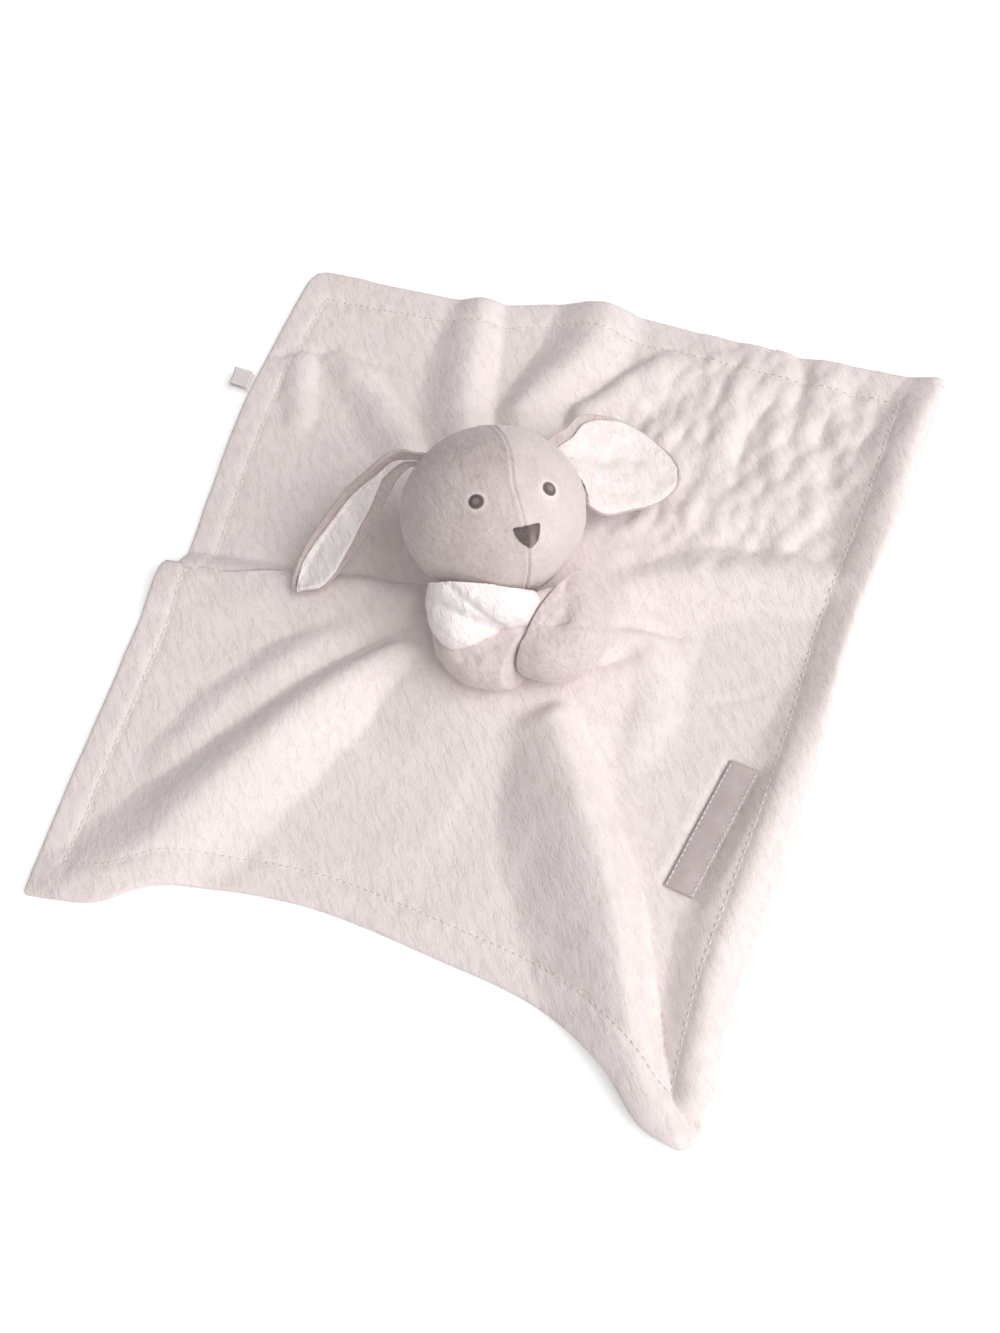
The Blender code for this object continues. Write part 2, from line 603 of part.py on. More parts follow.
def main():
    for old in list(bpy.data.objects):
        bpy.data.objects.remove(old)
    looks = {
        "fleece": material("fleece", (0.86, 0.75, 0.73), 0.95),
        "plush": material("plush", (0.93, 0.85, 0.83), 0.95),
        "velour": material("velour", (0.60, 0.50, 0.48), 0.9),
        "thread": material("thread", (0.13, 0.09, 0.09), 0.6),
        "ribbon": material("ribbon", (0.40, 0.33, 0.33), 0.5),
        "filling": material("filling", (0.9, 0.9, 0.88), 1.0),
    }
    root = empty("puppy_blanket", Vector(), None)
    blanket = make_blanket(looks["fleece"], root)
    make_label_patch(blanket, looks["ribbon"], root)
    tag_place, tag_way, _ = tag_frame()
    hinge_rise = TAG_THICKNESS * (1 + ribbon_bend_share)
    tag = empty("care_tag_hinge", tag_place + Vector((0, 0, hinge_rise)), root)
    make_care_tag(looks["ribbon"], tag)
    neck = empty("neck_swivel", NECK_POINT, root)
    make_neck(looks["velour"], neck)
    head = empty("head_tilt", NECK_POINT, neck)
    make_head(looks, head)
    for side_name, ear in ear_shares.items():
        hinge = empty(f"ear_{side_name}_hinge", HEAD_CENTRE + sewn_end(ear) * HEAD_RADIUS, head)
        make_ear(side_name, ear, looks, hinge)
    for side_name, arm in arm_shares.items():
        seam = SHOULDER_POINT + Vector(arm["shoulder"]) * ARM_RADIUS
        shoulder = empty(f"arm_{side_name}_shoulder", seam, root)
        make_arm(side_name, arm, looks, shoulder)


main()
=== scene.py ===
import math

import bmesh
import bpy
import numpy as np
from mathutils import Matrix, Vector, noise


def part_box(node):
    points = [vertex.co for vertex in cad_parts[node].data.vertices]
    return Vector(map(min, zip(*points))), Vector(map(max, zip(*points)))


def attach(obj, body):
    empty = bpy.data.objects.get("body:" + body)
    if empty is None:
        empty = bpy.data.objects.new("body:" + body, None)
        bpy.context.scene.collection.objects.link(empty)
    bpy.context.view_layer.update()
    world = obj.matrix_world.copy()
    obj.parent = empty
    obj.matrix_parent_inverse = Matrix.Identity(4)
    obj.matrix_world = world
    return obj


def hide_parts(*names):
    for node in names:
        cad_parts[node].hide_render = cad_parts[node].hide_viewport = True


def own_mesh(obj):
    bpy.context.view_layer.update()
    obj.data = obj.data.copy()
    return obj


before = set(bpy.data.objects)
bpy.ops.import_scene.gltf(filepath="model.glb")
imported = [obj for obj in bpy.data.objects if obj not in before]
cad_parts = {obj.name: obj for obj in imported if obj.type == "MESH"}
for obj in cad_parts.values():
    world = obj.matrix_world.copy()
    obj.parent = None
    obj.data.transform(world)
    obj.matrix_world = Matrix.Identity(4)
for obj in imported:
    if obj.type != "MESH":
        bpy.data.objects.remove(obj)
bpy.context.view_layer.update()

# All sizes are metres. The puppy looks along -Y, and left and right are the puppy's own.

# Camera and light

view = {
    "place": (0.005, -0.387, 0.638),
    "ahead": (-0.009, 0.5, -0.866),
    "aside": (0.919, -0.337, -0.203),
    "lens": 44.56,
    "filmHeight": 36.0,
}
lamps = {
    "keyPlace": (3.20, -3.30, 3.86),
    "keySize": 5.0,
    "keyPower": 335.0,
    "keyColour": (1.0, 0.985, 0.98),
    "fillPlace": (-0.25, -1.20, 1.60),
    "fillSize": 1.6,
    "fillPower": 5.5,
    "skyStrength": 0.30,
    "skyColour": (1.0, 0.975, 0.975),
}


def setCamera():
    cam = bpy.data.cameras.new("photo camera")
    cam.sensor_fit = "VERTICAL"
    cam.sensor_height = view["filmHeight"]
    cam.lens = view["lens"]
    cam.clip_start = 0.01
    ahead = Vector(view["ahead"]).normalized()
    upward = Vector(view["aside"]).cross(ahead).normalized()
    turn = Matrix((ahead.cross(upward), upward, -ahead)).transposed().to_4x4()
    turn.translation = Vector(view["place"])
    made = bpy.data.objects.new("photo camera", cam)
    bpy.context.scene.collection.objects.link(made)
    made.matrix_world = turn
    bpy.context.scene.camera = made
    bpy.context.scene.view_settings.view_transform = "Standard"


def areaLamp(name, place, size, power, colour):
    data = bpy.data.lights.new(name, "AREA")
    data.energy = power
    data.size = size
    data.color = colour
    made = bpy.data.objects.new(name, data)
    bpy.context.scene.collection.objects.link(made)
    made.location = place
    made.rotation_euler = (-Vector(place)).to_track_quat("-Z", "Y").to_euler()


def setLight():
    areaLamp("key", lamps["keyPlace"], lamps["keySize"], lamps["keyPower"], lamps["keyColour"])
    areaLamp("fill", lamps["fillPlace"], lamps["fillSize"], lamps["fillPower"], lamps["skyColour"])
    world = bpy.data.worlds.new("studio")
    world.use_nodes = True
    sky = world.node_tree.nodes["Background"]
    sky.inputs["Color"].default_value = (*lamps["skyColour"], 1)
    # the camera sees the sky white
    ray = world.node_tree.nodes.new("ShaderNodeLightPath")
    level = world.node_tree.nodes.new("ShaderNodeMapRange")
    level.inputs["To Min"].default_value = lamps["skyStrength"]
    world.node_tree.links.new(ray.outputs["Is Camera Ray"], level.inputs["Value"])
    world.node_tree.links.new(level.outputs[0], sky.inputs["Strength"])
    bpy.context.scene.world = world


setCamera()
setLight()
print("camera and light set")

# Shader maths


class Wire:  # one output of a material's node, so that shader maths reads as plain sums
    def __init__(self, tree, socket=None):
        self.tree = tree
        self.socket = socket

    def node(self, kind, settings=None, sockets=None, out=0):
        made = self.tree.nodes.new(kind)
        for name, value in (settings or {}).items():
            if name == "stops":
                ramp = made.color_ramp.elements
                while len(ramp) < len(value):
                    ramp.new(0.5)
                for stop, (place, shade) in zip(ramp, value):
                    stop.position = place
                    stop.color = (*shade, 1) if hasattr(shade, "__len__") else (shade, shade, shade, 1)
            else:
                setattr(made, name, value)
        for name, value in (sockets or {}).items():
            if isinstance(value, Wire):
                self.tree.links.new(value.socket, made.inputs[name])
            else:
                made.inputs[name].default_value = value
        return Wire(self.tree, made.outputs[out])

    def maths(self, operation, first, second=0.0):
        return self.node("ShaderNodeMath", {"operation": operation}, {0: first, 1: second})

    def __add__(self, other):
        return self.maths("ADD", self, other)

    def __radd__(self, other):
        return self.maths("ADD", other, self)

    def __sub__(self, other):
        return self.maths("SUBTRACT", self, other)

    def __rsub__(self, other):
        return self.maths("SUBTRACT", other, self)

    def __mul__(self, other):
        return self.maths("MULTIPLY", self, other)

    def __rmul__(self, other):
        return self.maths("MULTIPLY", other, self)

    def __truediv__(self, other):
        return self.maths("DIVIDE", self, other)

    def __pow__(self, other):
        return self.maths("POWER", self, other)


def spread(wire, low, high, start=0.0, end=1.0):  # eases a value from one range to another
    return wire.node("ShaderNodeMapRange", {"interpolation_type": "SMOOTHSTEP"},
                     {"Value": wire, "From Min": low, "From Max": high, "To Min": start, "To Max": end})


def blendColours(wire, share, first, second):
    def full(colour):
        return colour if isinstance(colour, Wire) else (*colour, 1)
    return wire.node("ShaderNodeMix", {"data_type": "RGBA", "clamp_factor": True},
                     {0: share, 6: full(first), 7: full(second)}, 2)


def fromScreen(red, green, blue):  # a colour as read in the photograph
    return tuple(((c / 255 + 0.055) / 1.055) ** 2.4 if c > 10 else c / 3300 for c in (red, green, blue))


def newLook(name, roughness, sheen=0.0, sheenRoughness=0.5, sheenTint=(1, 1, 1), specular=0.25):
    look = bpy.data.materials.new(name)
    look.use_nodes = True
    shader = look.node_tree.nodes["Principled BSDF"]
    shader.inputs["Roughness"].default_value = roughness
    shader.inputs["Sheen Weight"].default_value = sheen
    shader.inputs["Sheen Roughness"].default_value = sheenRoughness
    shader.inputs["Sheen Tint"].default_value = (*sheenTint, 1)
    shader.inputs["Specular IOR Level"].default_value = specular
    wire = Wire(look.node_tree)
    wire.shader = shader
    wire.look = look
    return wire


def connect(wire, colour, bump):
    wire.tree.links.new(colour.socket, wire.shader.inputs["Base Color"])
    wire.tree.links.new(bump.socket, wire.shader.inputs["Normal"])
    return wire.look


def grain(wire, where, scale, detail=2.0, rough=0.5, twist=0.0):
    return wire.node("ShaderNodeTexNoise", {}, {"Vector": where, "Scale": scale, "Detail": detail,
                                                "Roughness": rough, "Distortion": twist})


def raised(wire, height, distance, strength=1.0, under=None):
    sockets = {"Height": height, "Distance": distance, "Strength": strength}
    if under is not None:
        sockets["Normal"] = under
    return wire.node("ShaderNodeBump", {}, sockets)


# Finishes

fleeceFinish = {
    "lit": fromScreen(248, 239, 237),
    "nap": fromScreen(240, 229, 227),
    "root": fromScreen(220, 207, 205),
    "patchScale": 38.0,
    "clumpScale": 330.0,
    "fibreScale": 1700.0,
}


def brushedPile(name, finish, roughness, sheen, lean, clumpBump, fibreBump, brushed=False):
    wire = newLook(name, roughness, sheen, 0.6, (1.0, 0.97, 0.96), 0.1)
    place = wire.node("ShaderNodeTexCoord", out=3)
    leaning = wire.node("ShaderNodeMapping", {},
                        {"Vector": place, "Rotation": (0, 0, lean), "Scale": (1, 0.32, 1)})
    patches = grain(wire, place, finish["patchScale"], 3.0, 0.55, 0.6)
    clumps = grain(wire, leaning, finish["clumpScale"], 3.0, 0.6, 0.4)
    fibres = grain(wire, leaning, finish["fibreScale"], 2.0, 0.6)
    lay = spread(patches, 0.35, 0.68)
    tufts = spread(clumps, 0.30, 0.62)
    strands = spread(fibres, 0.30, 0.70)
    colour = blendColours(wire, lay * 0.42 + 0.30, finish["lit"], finish["nap"])
    # the pile's colour also darkens where the bump is low: painted shade between the tufts and strands
    colour = blendColours(wire, (1 - tufts) * 0.5, colour, finish["nap"])
    colour = blendColours(wire, (1 - strands) * (1 - tufts) * 0.6, colour, finish["root"])
    if "crinkle" in finish:  # short dark lines where the pile parts
        lines = grain(wire, leaning, finish["crinkle"], 3.0, 0.6, 0.9)
        parted = 1 - spread(wire.maths("ABSOLUTE", lines - 0.5), 0.0, 0.035)
        colour = blendColours(wire, parted * spread(grain(wire, place, 210.0, 2.0), 0.42, 0.60) * 0.7, colour,
                              finish["root"])
    # the head's paleness is painted light and shade, with random mottle
    if brushed:
        paleForLightAndMottle = wire.node("ShaderNodeAttribute", {"attribute_name": "brushed"}, out=2)
        colour = blendColours(wire, paleForLightAndMottle, colour, finish["paleForLightAndMottle"])
    bump = raised(wire, tufts, clumpBump, 0.55)
    bump = raised(wire, strands, fibreBump, 0.6, bump)
    return connect(wire, colour, bump)


plushFinish = {
    "lit": fromScreen(247, 239, 238),
    "nap": fromScreen(240, 230, 228),
    "root": fromScreen(224, 211, 209),
    "patchScale": 60.0,
    "clumpScale": 300.0,
    "fibreScale": 1500.0,
}
# a paler copy of the white plush for the linings that lie in shade: painted light
plushPaintedPaler = {
    "lit": fromScreen(255, 248, 247),
    "nap": fromScreen(252, 245, 244),
    "root": fromScreen(240, 229, 227),
}
velourFinish = {
    "lit": fromScreen(219, 205, 203),
    "nap": fromScreen(207, 193, 191),
    "root": fromScreen(182, 168, 166),
    "patchScale": 75.0,
    "clumpScale": 520.0,
    "fibreScale": 2100.0,
    "crinkle": 260.0,
}
# the arms' velour is a paler copy of the same velour: painted light
armFinishPaleForLight = {
    **velourFinish,
    "lit": fromScreen(231, 218, 216),
    "nap": fromScreen(220, 206, 204),
    "root": fromScreen(196, 182, 180),
}
# the face's velour is a darker copy of the same velour: painted shade, with a pale colour for the painted
# light of the head
faceFinishDarkForShade = {
    **velourFinish,
    "lit": fromScreen(208, 194, 192),
    "nap": fromScreen(195, 181, 179),
    "root": fromScreen(166, 152, 150),
    "paleForLightAndMottle": fromScreen(240, 227, 225),
}
threadFinish = {
    "dark": fromScreen(96, 82, 81),
    "pale": fromScreen(168, 154, 152),
    "pitch": 2100.0,
}


def satinStitch(name, finish, turn, paleByLight):
    # paleByLight tells how pale the threads are painted at a place of the pad, for highlight and shade: its
    # shares across and up
    wire = newLook(name, 0.55, 0.25, 0.4, (1, 0.95, 0.93), 0.4)
    place = wire.node("ShaderNodeTexCoord", out=3)
    turned = wire.node("ShaderNodeMapping", {"vector_type": "TEXTURE"}, {"Vector": place, "Rotation": turn})
    threads = wire.node("ShaderNodeTexWave", {"bands_direction": "X"},
                        {"Vector": turned, "Scale": finish["pitch"] / 2, "Distortion": 1.2, "Detail": 2.0,
                         "Detail Scale": 0.6})
    fuzz = grain(wire, place, 1100.0, 3.0, 0.6)
    spot = wire.node("ShaderNodeAttribute", {"attribute_name": "padPlace"}, out=1)
    across = wire.node("ShaderNodeSeparateXYZ", {}, {"Vector": spot}, 0)
    upward = wire.node("ShaderNodeSeparateXYZ", {}, {"Vector": spot}, 1)
    # the threads are paler along their raised crests: a painted highlight
    pale = spread(threads, 0.2, 0.8) * 0.30 + spread(fuzz, 0.4, 0.7) * 0.22 + paleByLight(across, upward)
    colour = blendColours(wire, pale, finish["dark"], finish["pale"])
    return connect(wire, colour, raised(wire, threads, 0.0003, 0.7))


def eyeHighlights(across, upward):  # painted highlights: paler in the middle and at the rim
    out = (across * across + upward * upward) ** 0.5
    return spread(out, 0.20, 0.62, 0.75, 0.0) + spread(out, 0.80, 1.0, 0.0, 0.5)


def noseHighlight(across, upward):  # a painted highlight right of the middle, fading to the dark thread colour along the top
    streak = spread(across, -0.10, 0.25) * spread(across, 0.35, 0.70, 1.0, 0.0)
    return streak * spread(upward, -0.9, 0.6, 1.2, 0.3)


labelFinish = {
    "warp": fromScreen(217, 204, 203),
    "weft": fromScreen(195, 182, 181),
    "threads": 2600.0,
}


def wovenSatin(name, finish, turn, roughness=0.38):
    wire = newLook(name, roughness, 0.15, 0.4, (1, 1, 1), 0.5)
    place = wire.node("ShaderNodeTexCoord", out=3)
    turned = wire.node("ShaderNodeMapping", {"vector_type": "TEXTURE"},
                       {"Vector": place, "Rotation": (0, 0, turn)})
    warp = wire.node("ShaderNodeTexWave", {"bands_direction": "X"},
                     {"Vector": turned, "Scale": finish["threads"] / 2, "Distortion": 0.3})
    weft = wire.node("ShaderNodeTexWave", {"bands_direction": "Y"},
                     {"Vector": turned, "Scale": finish["threads"] / 3, "Distortion": 0.3})
    sheenBands = grain(wire, turned, 120.0, 2.0)
    share = warp * 0.35 + spread(sheenBands, 0.3, 0.7) * 0.5
    colour = blendColours(wire, share, finish["warp"], finish["weft"])
    return connect(wire, colour, raised(wire, warp + weft, 0.00012, 0.5))


looks = {
    "fleece": brushedPile("blanket fleece", fleeceFinish, 0.95, 0.35, 0.5, 0.00030, 0.00012),
    "plush": brushedPile("white plush", plushFinish, 0.95, 0.4, -0.4, 0.00060, 0.00016),
    # the paler plush copy is painted light, for the right ear's lining and the right arm's lining, which lie
    # in shade
    "palerPlushForShade": brushedPile("white plush painted paler for shade", {**plushFinish, **plushPaintedPaler},
                               0.95, 0.4, -0.4, 0.00060, 0.00016),
    "faceVelour": brushedPile("taupe velour of the face, painted light and shade", faceFinishDarkForShade,
                              0.85, 0.45, 0.9, 0.00026, 0.00010, True),
    "armVelour": brushedPile("taupe velour of the arms, painted paler", armFinishPaleForLight, 0.85, 0.45, 0.9, 0.00024, 0.00009),
    "velour": brushedPile("taupe velour", velourFinish, 0.85, 0.45, 0.9, 0.00022, 0.00008),
    "satin": wovenSatin("label satin", labelFinish, math.radians(40)),
    "tape": wovenSatin("care tag tape", {"warp": fromScreen(250, 244, 243), "weft": fromScreen(240, 231, 230),
                                         "threads": 2600.0}, math.radians(54), 0.5),
    "eyes": satinStitch("eye embroidery", threadFinish, (0, 0, 0.9), eyeHighlights),
    "nose": satinStitch("nose embroidery", threadFinish, (0, 0, 0.29), noseHighlight),
}


def sewingLook(name, shade):
    wire = newLook(name, 0.7, 0.2, 0.5, (1, 1, 1), 0.3)
    place = wire.node("ShaderNodeTexCoord", out=3)
    twist = grain(wire, place, 2400.0, 2.0)
    colour = blendColours(wire, spread(twist, 0.35, 0.65), shade, tuple(c * 0.72 for c in shade))
    return connect(wire, colour, raised(wire, twist, 0.0001, 0.4))


looks["hemThread"] = sewingLook("hem thread", fromScreen(250, 241, 239))
looks["labelThread"] = sewingLook("label thread", fromScreen(252, 246, 245))
looks["seamThread"] = sewingLook("seam thread", fromScreen(176, 162, 160))
print("finishes made")

# Helpers for pieces


def finishPiece(name, form, look, body, replaced=()):
    mesh = bpy.data.meshes.new(name)
    form.to_mesh(mesh)
    form.free()
    mesh.shade_smooth()
    mesh.materials.append(look)
    made = bpy.data.objects.new(name, mesh)
    bpy.context.scene.collection.objects.link(made)
    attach(made, body)
    if replaced:
        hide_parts(*replaced)
    return made


def curveThrough(points, steps):
    # a smooth curve through these points, as an array with this many steps between two of them
    known = np.array(points, float)
    padded = np.vstack([2 * known[0] - known[1], known, 2 * known[-1] - known[-2]])
    made = []
    for i in range(len(known) - 1):
        a, b, c, d = padded[i:i + 4]
        for k in range(steps):
            t = k / steps
            made.append(0.5 * (2 * b + (c - a) * t + (2 * a - 5 * b + 4 * c - d) * t**2
                               + (3 * b - a - 3 * c + d) * t**3))
    made.append(known[-1])
    return np.array(made)


def alongCurve(points, share):
    # places at these shares of a curve's length
    line = curveThrough(points, 12)
    lengths = np.concatenate([[0], np.cumsum(np.linalg.norm(np.diff(line, axis=0), axis=1))])
    lengths /= lengths[-1]
    return np.stack([np.interp(share, lengths, line[:, k]) for k in range(line.shape[1])], axis=-1)


def ease(x):  # 0 at 0, 1 at 1, level at both ends
    x = np.clip(x, 0, 1)
    return x * x * (3 - 2 * x)


def bumps(places, size, seed, octaves=2):
    # soft random heights, about -1 to 1, for places in metres
    out = np.empty(len(places))
    for i, p in enumerate(places):
        spot = Vector((p[0] / size + seed * 7.3, p[1] / size - seed * 3.1, p[2] / size + seed))
        out[i] = noise.fractal(spot, 0.8, 2.1, octaves)
    return out


# Where the head is, at rest and as its joints move

headForm = {
    "turn": math.radians(12),
    "recline": math.radians(43),
    "lean": math.radians(23.5),
    "centre": (0.0222, 0.0240, 0.0514),
    "radius": 0.0402,
    "rise": 0.0372,
    "muzzle": 0.004,
    "muzzleSpread": math.radians(30),
    "noseDown": math.radians(7.5),
    "noseAside": math.radians(4.4),
    "seamAside": (0.055, -0.070),
    "seamCrown": 0.125,
    "seamDip": 0.0007,
    "seamWidth": 0.00045,
    "seamPuff": 0.00032,
    "around": 224,
    "up": 150,
}
headTurn = (Matrix.Rotation(headForm["turn"], 3, "Z") @ Matrix.Rotation(-headForm["recline"], 3, "X")
            @ Matrix.Rotation(headForm["lean"], 3, "Y"))
headAxes = np.array(headTurn)
headCentre = Vector(headForm["centre"])
headMoves = {
    "pivot": (0.01472, 0.00137, 0.02749),
    "nodAxis": (0.959, 0.036, -0.283),
    "turns": ((0, 0), (10, 0), (-10, 0)),  # degrees of turn and nod
    "nods": ((0, 6), (0, -2), (10, 6), (-10, -2)),
}


def headPlaces(poses):  # the head's middle and axes at these turns and nods
    pivot = Vector(headMoves["pivot"])
    for turn, nod in poses:
        moved = (Matrix.Rotation(math.radians(turn), 3, "Z")
                 @ Matrix.Rotation(math.radians(nod), 3, Vector(headMoves["nodAxis"])))
        yield np.array(moved @ (headCentre - pivot) + pivot), np.array(moved @ headTurn)


def headUnder(x, y):  # how low the head comes over these places
    lowest = np.full(x.shape, 1.0)
    reach = np.diag((headForm["radius"] ** -2, headForm["radius"] ** -2, headForm["rise"] ** -2))
    for middle, axes in headPlaces(headMoves["turns"] + headMoves["nods"]):
        m = axes @ reach @ axes.T
        dx, dy = x - middle[0], y - middle[1]
        b = m[0, 2] * dx + m[1, 2] * dy
        c = m[0, 0] * dx**2 + 2 * m[0, 1] * dx * dy + m[1, 1] * dy**2 - 1
        under = b * b - m[2, 2] * c
        deep = middle[2] - (b + np.sqrt(np.maximum(under, 0))) / m[2, 2]
        lowest = np.where(under > 0, np.minimum(lowest, deep), lowest)
    return lowest


# The blanket

blanketCut = {
    "side": 0.355,
    "wall": 0.0032,
    "hemWidth": 0.0165,
    "hemRise": 0.0004,
    "stitchDip": 0.0004,
    "stitchPitch": 0.0036,
    "stitchShare": 0.66,
    "stitchRadius": 0.00026,
    "edgeRound": 0.0026,
    "cornerRound": 0.011,
    "cornerTight": 0.0035,
    "lines": 194,
    "seatCentre": (0.012, -0.0085),
    "seatRise": 0.009,
    "seatRadius": 0.040,
    "seatSlope": 0.045,
    "underHead": 0.0008,
    "foldStart": 0.038,
    "foldFade": 0.015,
    "blend": 2.6,
    "crumpleCentre": (0.137, 0.034),
    "crumpleReach": (0.066, 0.058),
    "crumpleRise": 0.0034,
}
blanketEdges = {  # outline on the table, from corner to corner
    "frontRight": ((-0.236, -0.031), (-0.205, -0.050), (-0.170, -0.057), (-0.118, -0.090), (-0.073, -0.135),
                   (-0.042, -0.170), (-0.026, -0.203), (-0.021, -0.230), (-0.010, -0.246)),
    "backLeft": ((-0.010, 0.246), (0.027, 0.210), (0.065, 0.176), (0.096, 0.158), (0.117, 0.141),
                 (0.150, 0.107), (0.185, 0.070), (0.236, 0.025)),
    "backRight": ((-0.236, -0.031), (-0.209, 0.006), (-0.170, 0.057), (-0.134, 0.103), (-0.125, 0.100),
                  (-0.096, 0.142), (-0.063, 0.188), (-0.010, 0.246)),
    "frontLeft": ((-0.010, -0.246), (0.003, -0.239), (0.037, -0.195), (0.092, -0.137), (0.140, -0.078),
                  (0.184, -0.034), (0.236, 0.025)),
}
# each fold's crest from its start out: x, y and height, then how far it slopes off to the left and the right
blanketFolds = {
    "front": (
        (0.010, -0.038, 0.012, 0.010, 0.024), (0.012, -0.055, 0.0145, 0.010, 0.028),
        (0.010, -0.080, 0.016, 0.010, 0.033), (0.007, -0.105, 0.016, 0.011, 0.037),
        (0.005, -0.128, 0.016, 0.011, 0.038), (0.002, -0.149, 0.0155, 0.011, 0.038),
        (-0.003, -0.168, 0.0145, 0.011, 0.036), (-0.008, -0.187, 0.0125, 0.011, 0.030),
        (-0.012, -0.206, 0.0095, 0.011, 0.021), (-0.013, -0.223, 0.0065, 0.011, 0.014),
        (-0.011, -0.237, 0.004, 0.008, 0.009),
    ),
    "leftPanelNear": (
        (-0.025, 0.001, 0.01, 0.009, 0.008), (-0.038, 0.003, 0.0115, 0.012, 0.011),
        (-0.063, 0.000, 0.013, 0.018, 0.016), (-0.089, -0.006, 0.0135, 0.023, 0.02),
        (-0.116, -0.016, 0.014, 0.027, 0.025), (-0.143, -0.026, 0.013, 0.031, 0.028),
        (-0.170, -0.036, 0.0105, 0.031, 0.03), (-0.195, -0.037, 0.007, 0.026, 0.026),
        (-0.215, -0.036, 0.0035, 0.014, 0.02),
    ),
    "leftPanelFar": (
        (-0.025, 0.024, 0.006, 0.014, 0.009), (-0.041, 0.027, 0.0055, 0.018, 0.010),
        (-0.059, 0.027, 0.0055, 0.020, 0.012), (-0.081, 0.026, 0.0055, 0.022, 0.014),
        (-0.105, 0.021, 0.005, 0.022, 0.015), (-0.128, 0.015, 0.004, 0.020, 0.015),
        (-0.153, 0.006, 0.0025, 0.016, 0.014),
    ),
    "toTheNotch": (
        (-0.022, 0.021, 0.012, 0.027, 0.009), (-0.048, 0.043, 0.011, 0.027, 0.009),
        (-0.074, 0.060, 0.009, 0.027, 0.009), (-0.106, 0.085, 0.007, 0.027, 0.009),
        (-0.131, 0.101, 0.005, 0.027, 0.009),
    ),
    "behindLeft": (
        (-0.003, 0.111, 0.0055, 0.016, 0.009), (-0.005, 0.134, 0.0055, 0.016, 0.009),
        (-0.009, 0.158, 0.0045, 0.014, 0.009), (-0.016, 0.181, 0.0025, 0.010, 0.008),
    ),
    "behindFarLeft": (
        (-0.045, 0.156, 0.0025, 0.008, 0.008), (-0.040, 0.174, 0.0035, 0.009, 0.008),
        (-0.033, 0.192, 0.0025, 0.008, 0.007),
    ),
    "behindMiddle": (
        (0.027, 0.101, 0.009, 0.020, 0.012), (0.033, 0.119, 0.009, 0.024, 0.012),
        (0.046, 0.147, 0.008, 0.022, 0.012), (0.063, 0.177, 0.005, 0.014, 0.010),
    ),
    "behindRight": (
        (0.056, 0.102, 0.009, 0.014, 0.016), (0.072, 0.109, 0.010, 0.020, 0.018),
        (0.093, 0.117, 0.010, 0.026, 0.020), (0.109, 0.132, 0.008, 0.026, 0.018),
        (0.117, 0.144, 0.006, 0.022, 0.014),
    ),
    "behindByTheEar": (
        (0.082, 0.088, 0.0065, 0.008, 0.010), (0.097, 0.089, 0.007, 0.009, 0.012),
        (0.114, 0.093, 0.006, 0.009, 0.012), (0.130, 0.096, 0.003, 0.007, 0.008),
    ),
    "rightLevel": (
        (0.055, -0.009, 0.007, 0.012, 0.014), (0.074, -0.015, 0.008, 0.014, 0.017),
        (0.095, -0.022, 0.008, 0.015, 0.019), (0.115, -0.030, 0.008, 0.014, 0.019),
        (0.134, -0.040, 0.007, 0.012, 0.018), (0.149, -0.054, 0.005, 0.009, 0.012),
    ),
    "rightHump": (
        (0.040, -0.030, 0.004, 0.008, 0.006), (0.053, -0.033, 0.005, 0.009, 0.006),
        (0.060, -0.041, 0.006, 0.011, 0.008), (0.058, -0.055, 0.006, 0.013, 0.012),
        (0.048, -0.071, 0.0045, 0.015, 0.013), (0.036, -0.083, 0.002, 0.012, 0.01),
    ),
    "rightUnderHump": (
        (0.029, -0.049, 0.004, 0.005, 0.012), (0.040, -0.053, 0.0045, 0.005, 0.013),
        (0.051, -0.053, 0.004, 0.005, 0.012), (0.059, -0.048, 0.002, 0.005, 0.01),
    ),
    "alongRightBorder": (
        (0.230, 0.021, 0.005, 0.003, 0.014), (0.215, 0.007, 0.009, 0.004, 0.020),
        (0.195, -0.016, 0.0095, 0.005, 0.021), (0.176, -0.038, 0.0095, 0.006, 0.021),
        (0.159, -0.058, 0.0085, 0.008, 0.020), (0.141, -0.080, 0.007, 0.009, 0.018),
        (0.119, -0.101, 0.007, 0.010, 0.018), (0.100, -0.118, 0.007, 0.011, 0.018),
        (0.064, -0.150, 0.007, 0.011, 0.019), (0.033, -0.181, 0.007, 0.011, 0.018),
        (0.014, -0.207, 0.0065, 0.010, 0.014), (0.002, -0.228, 0.005, 0.008, 0.009),
    ),
}
# lines pressed into the pile, as (x, y) along each, with their depth and width
blanketCreases = (
    (((-0.025, 0.001), (-0.037, 0.006), (-0.051, 0.008), (-0.066, 0.008)), 0.0012, 0.0016),
    (((0.047, -0.026), (0.065, -0.036), (0.084, -0.047)), 0.0022, 0.0017),
    (((0.032, -0.041), (0.043, -0.044), (0.057, -0.043)), 0.0026, 0.0027),
    (((0.067, -0.074), (0.085, -0.081), (0.107, -0.085)), 0.0007, 0.0020),
    (((-0.051, 0.203), (-0.036, 0.197), (-0.021, 0.190), (-0.007, 0.177), (0.011, 0.158)), 0.0016, 0.0024),
    (((0.174, 0.031), (0.171, 0.011), (0.165, -0.007)), 0.0024, 0.0045),
    (((0.150, 0.030), (0.136, 0.021), (0.123, 0.017)), 0.0018, 0.0032),
    (((0.101, -0.006), (0.117, -0.012), (0.130, -0.023)), 0.0013, 0.0040),
    (((0.145, -0.036), (0.160, -0.031)), 0.0015, 0.0040),
)
labelPlace = {"centre": (0.053, -0.1305), "heading": math.radians(40), "length": 0.061, "width": 0.0135}


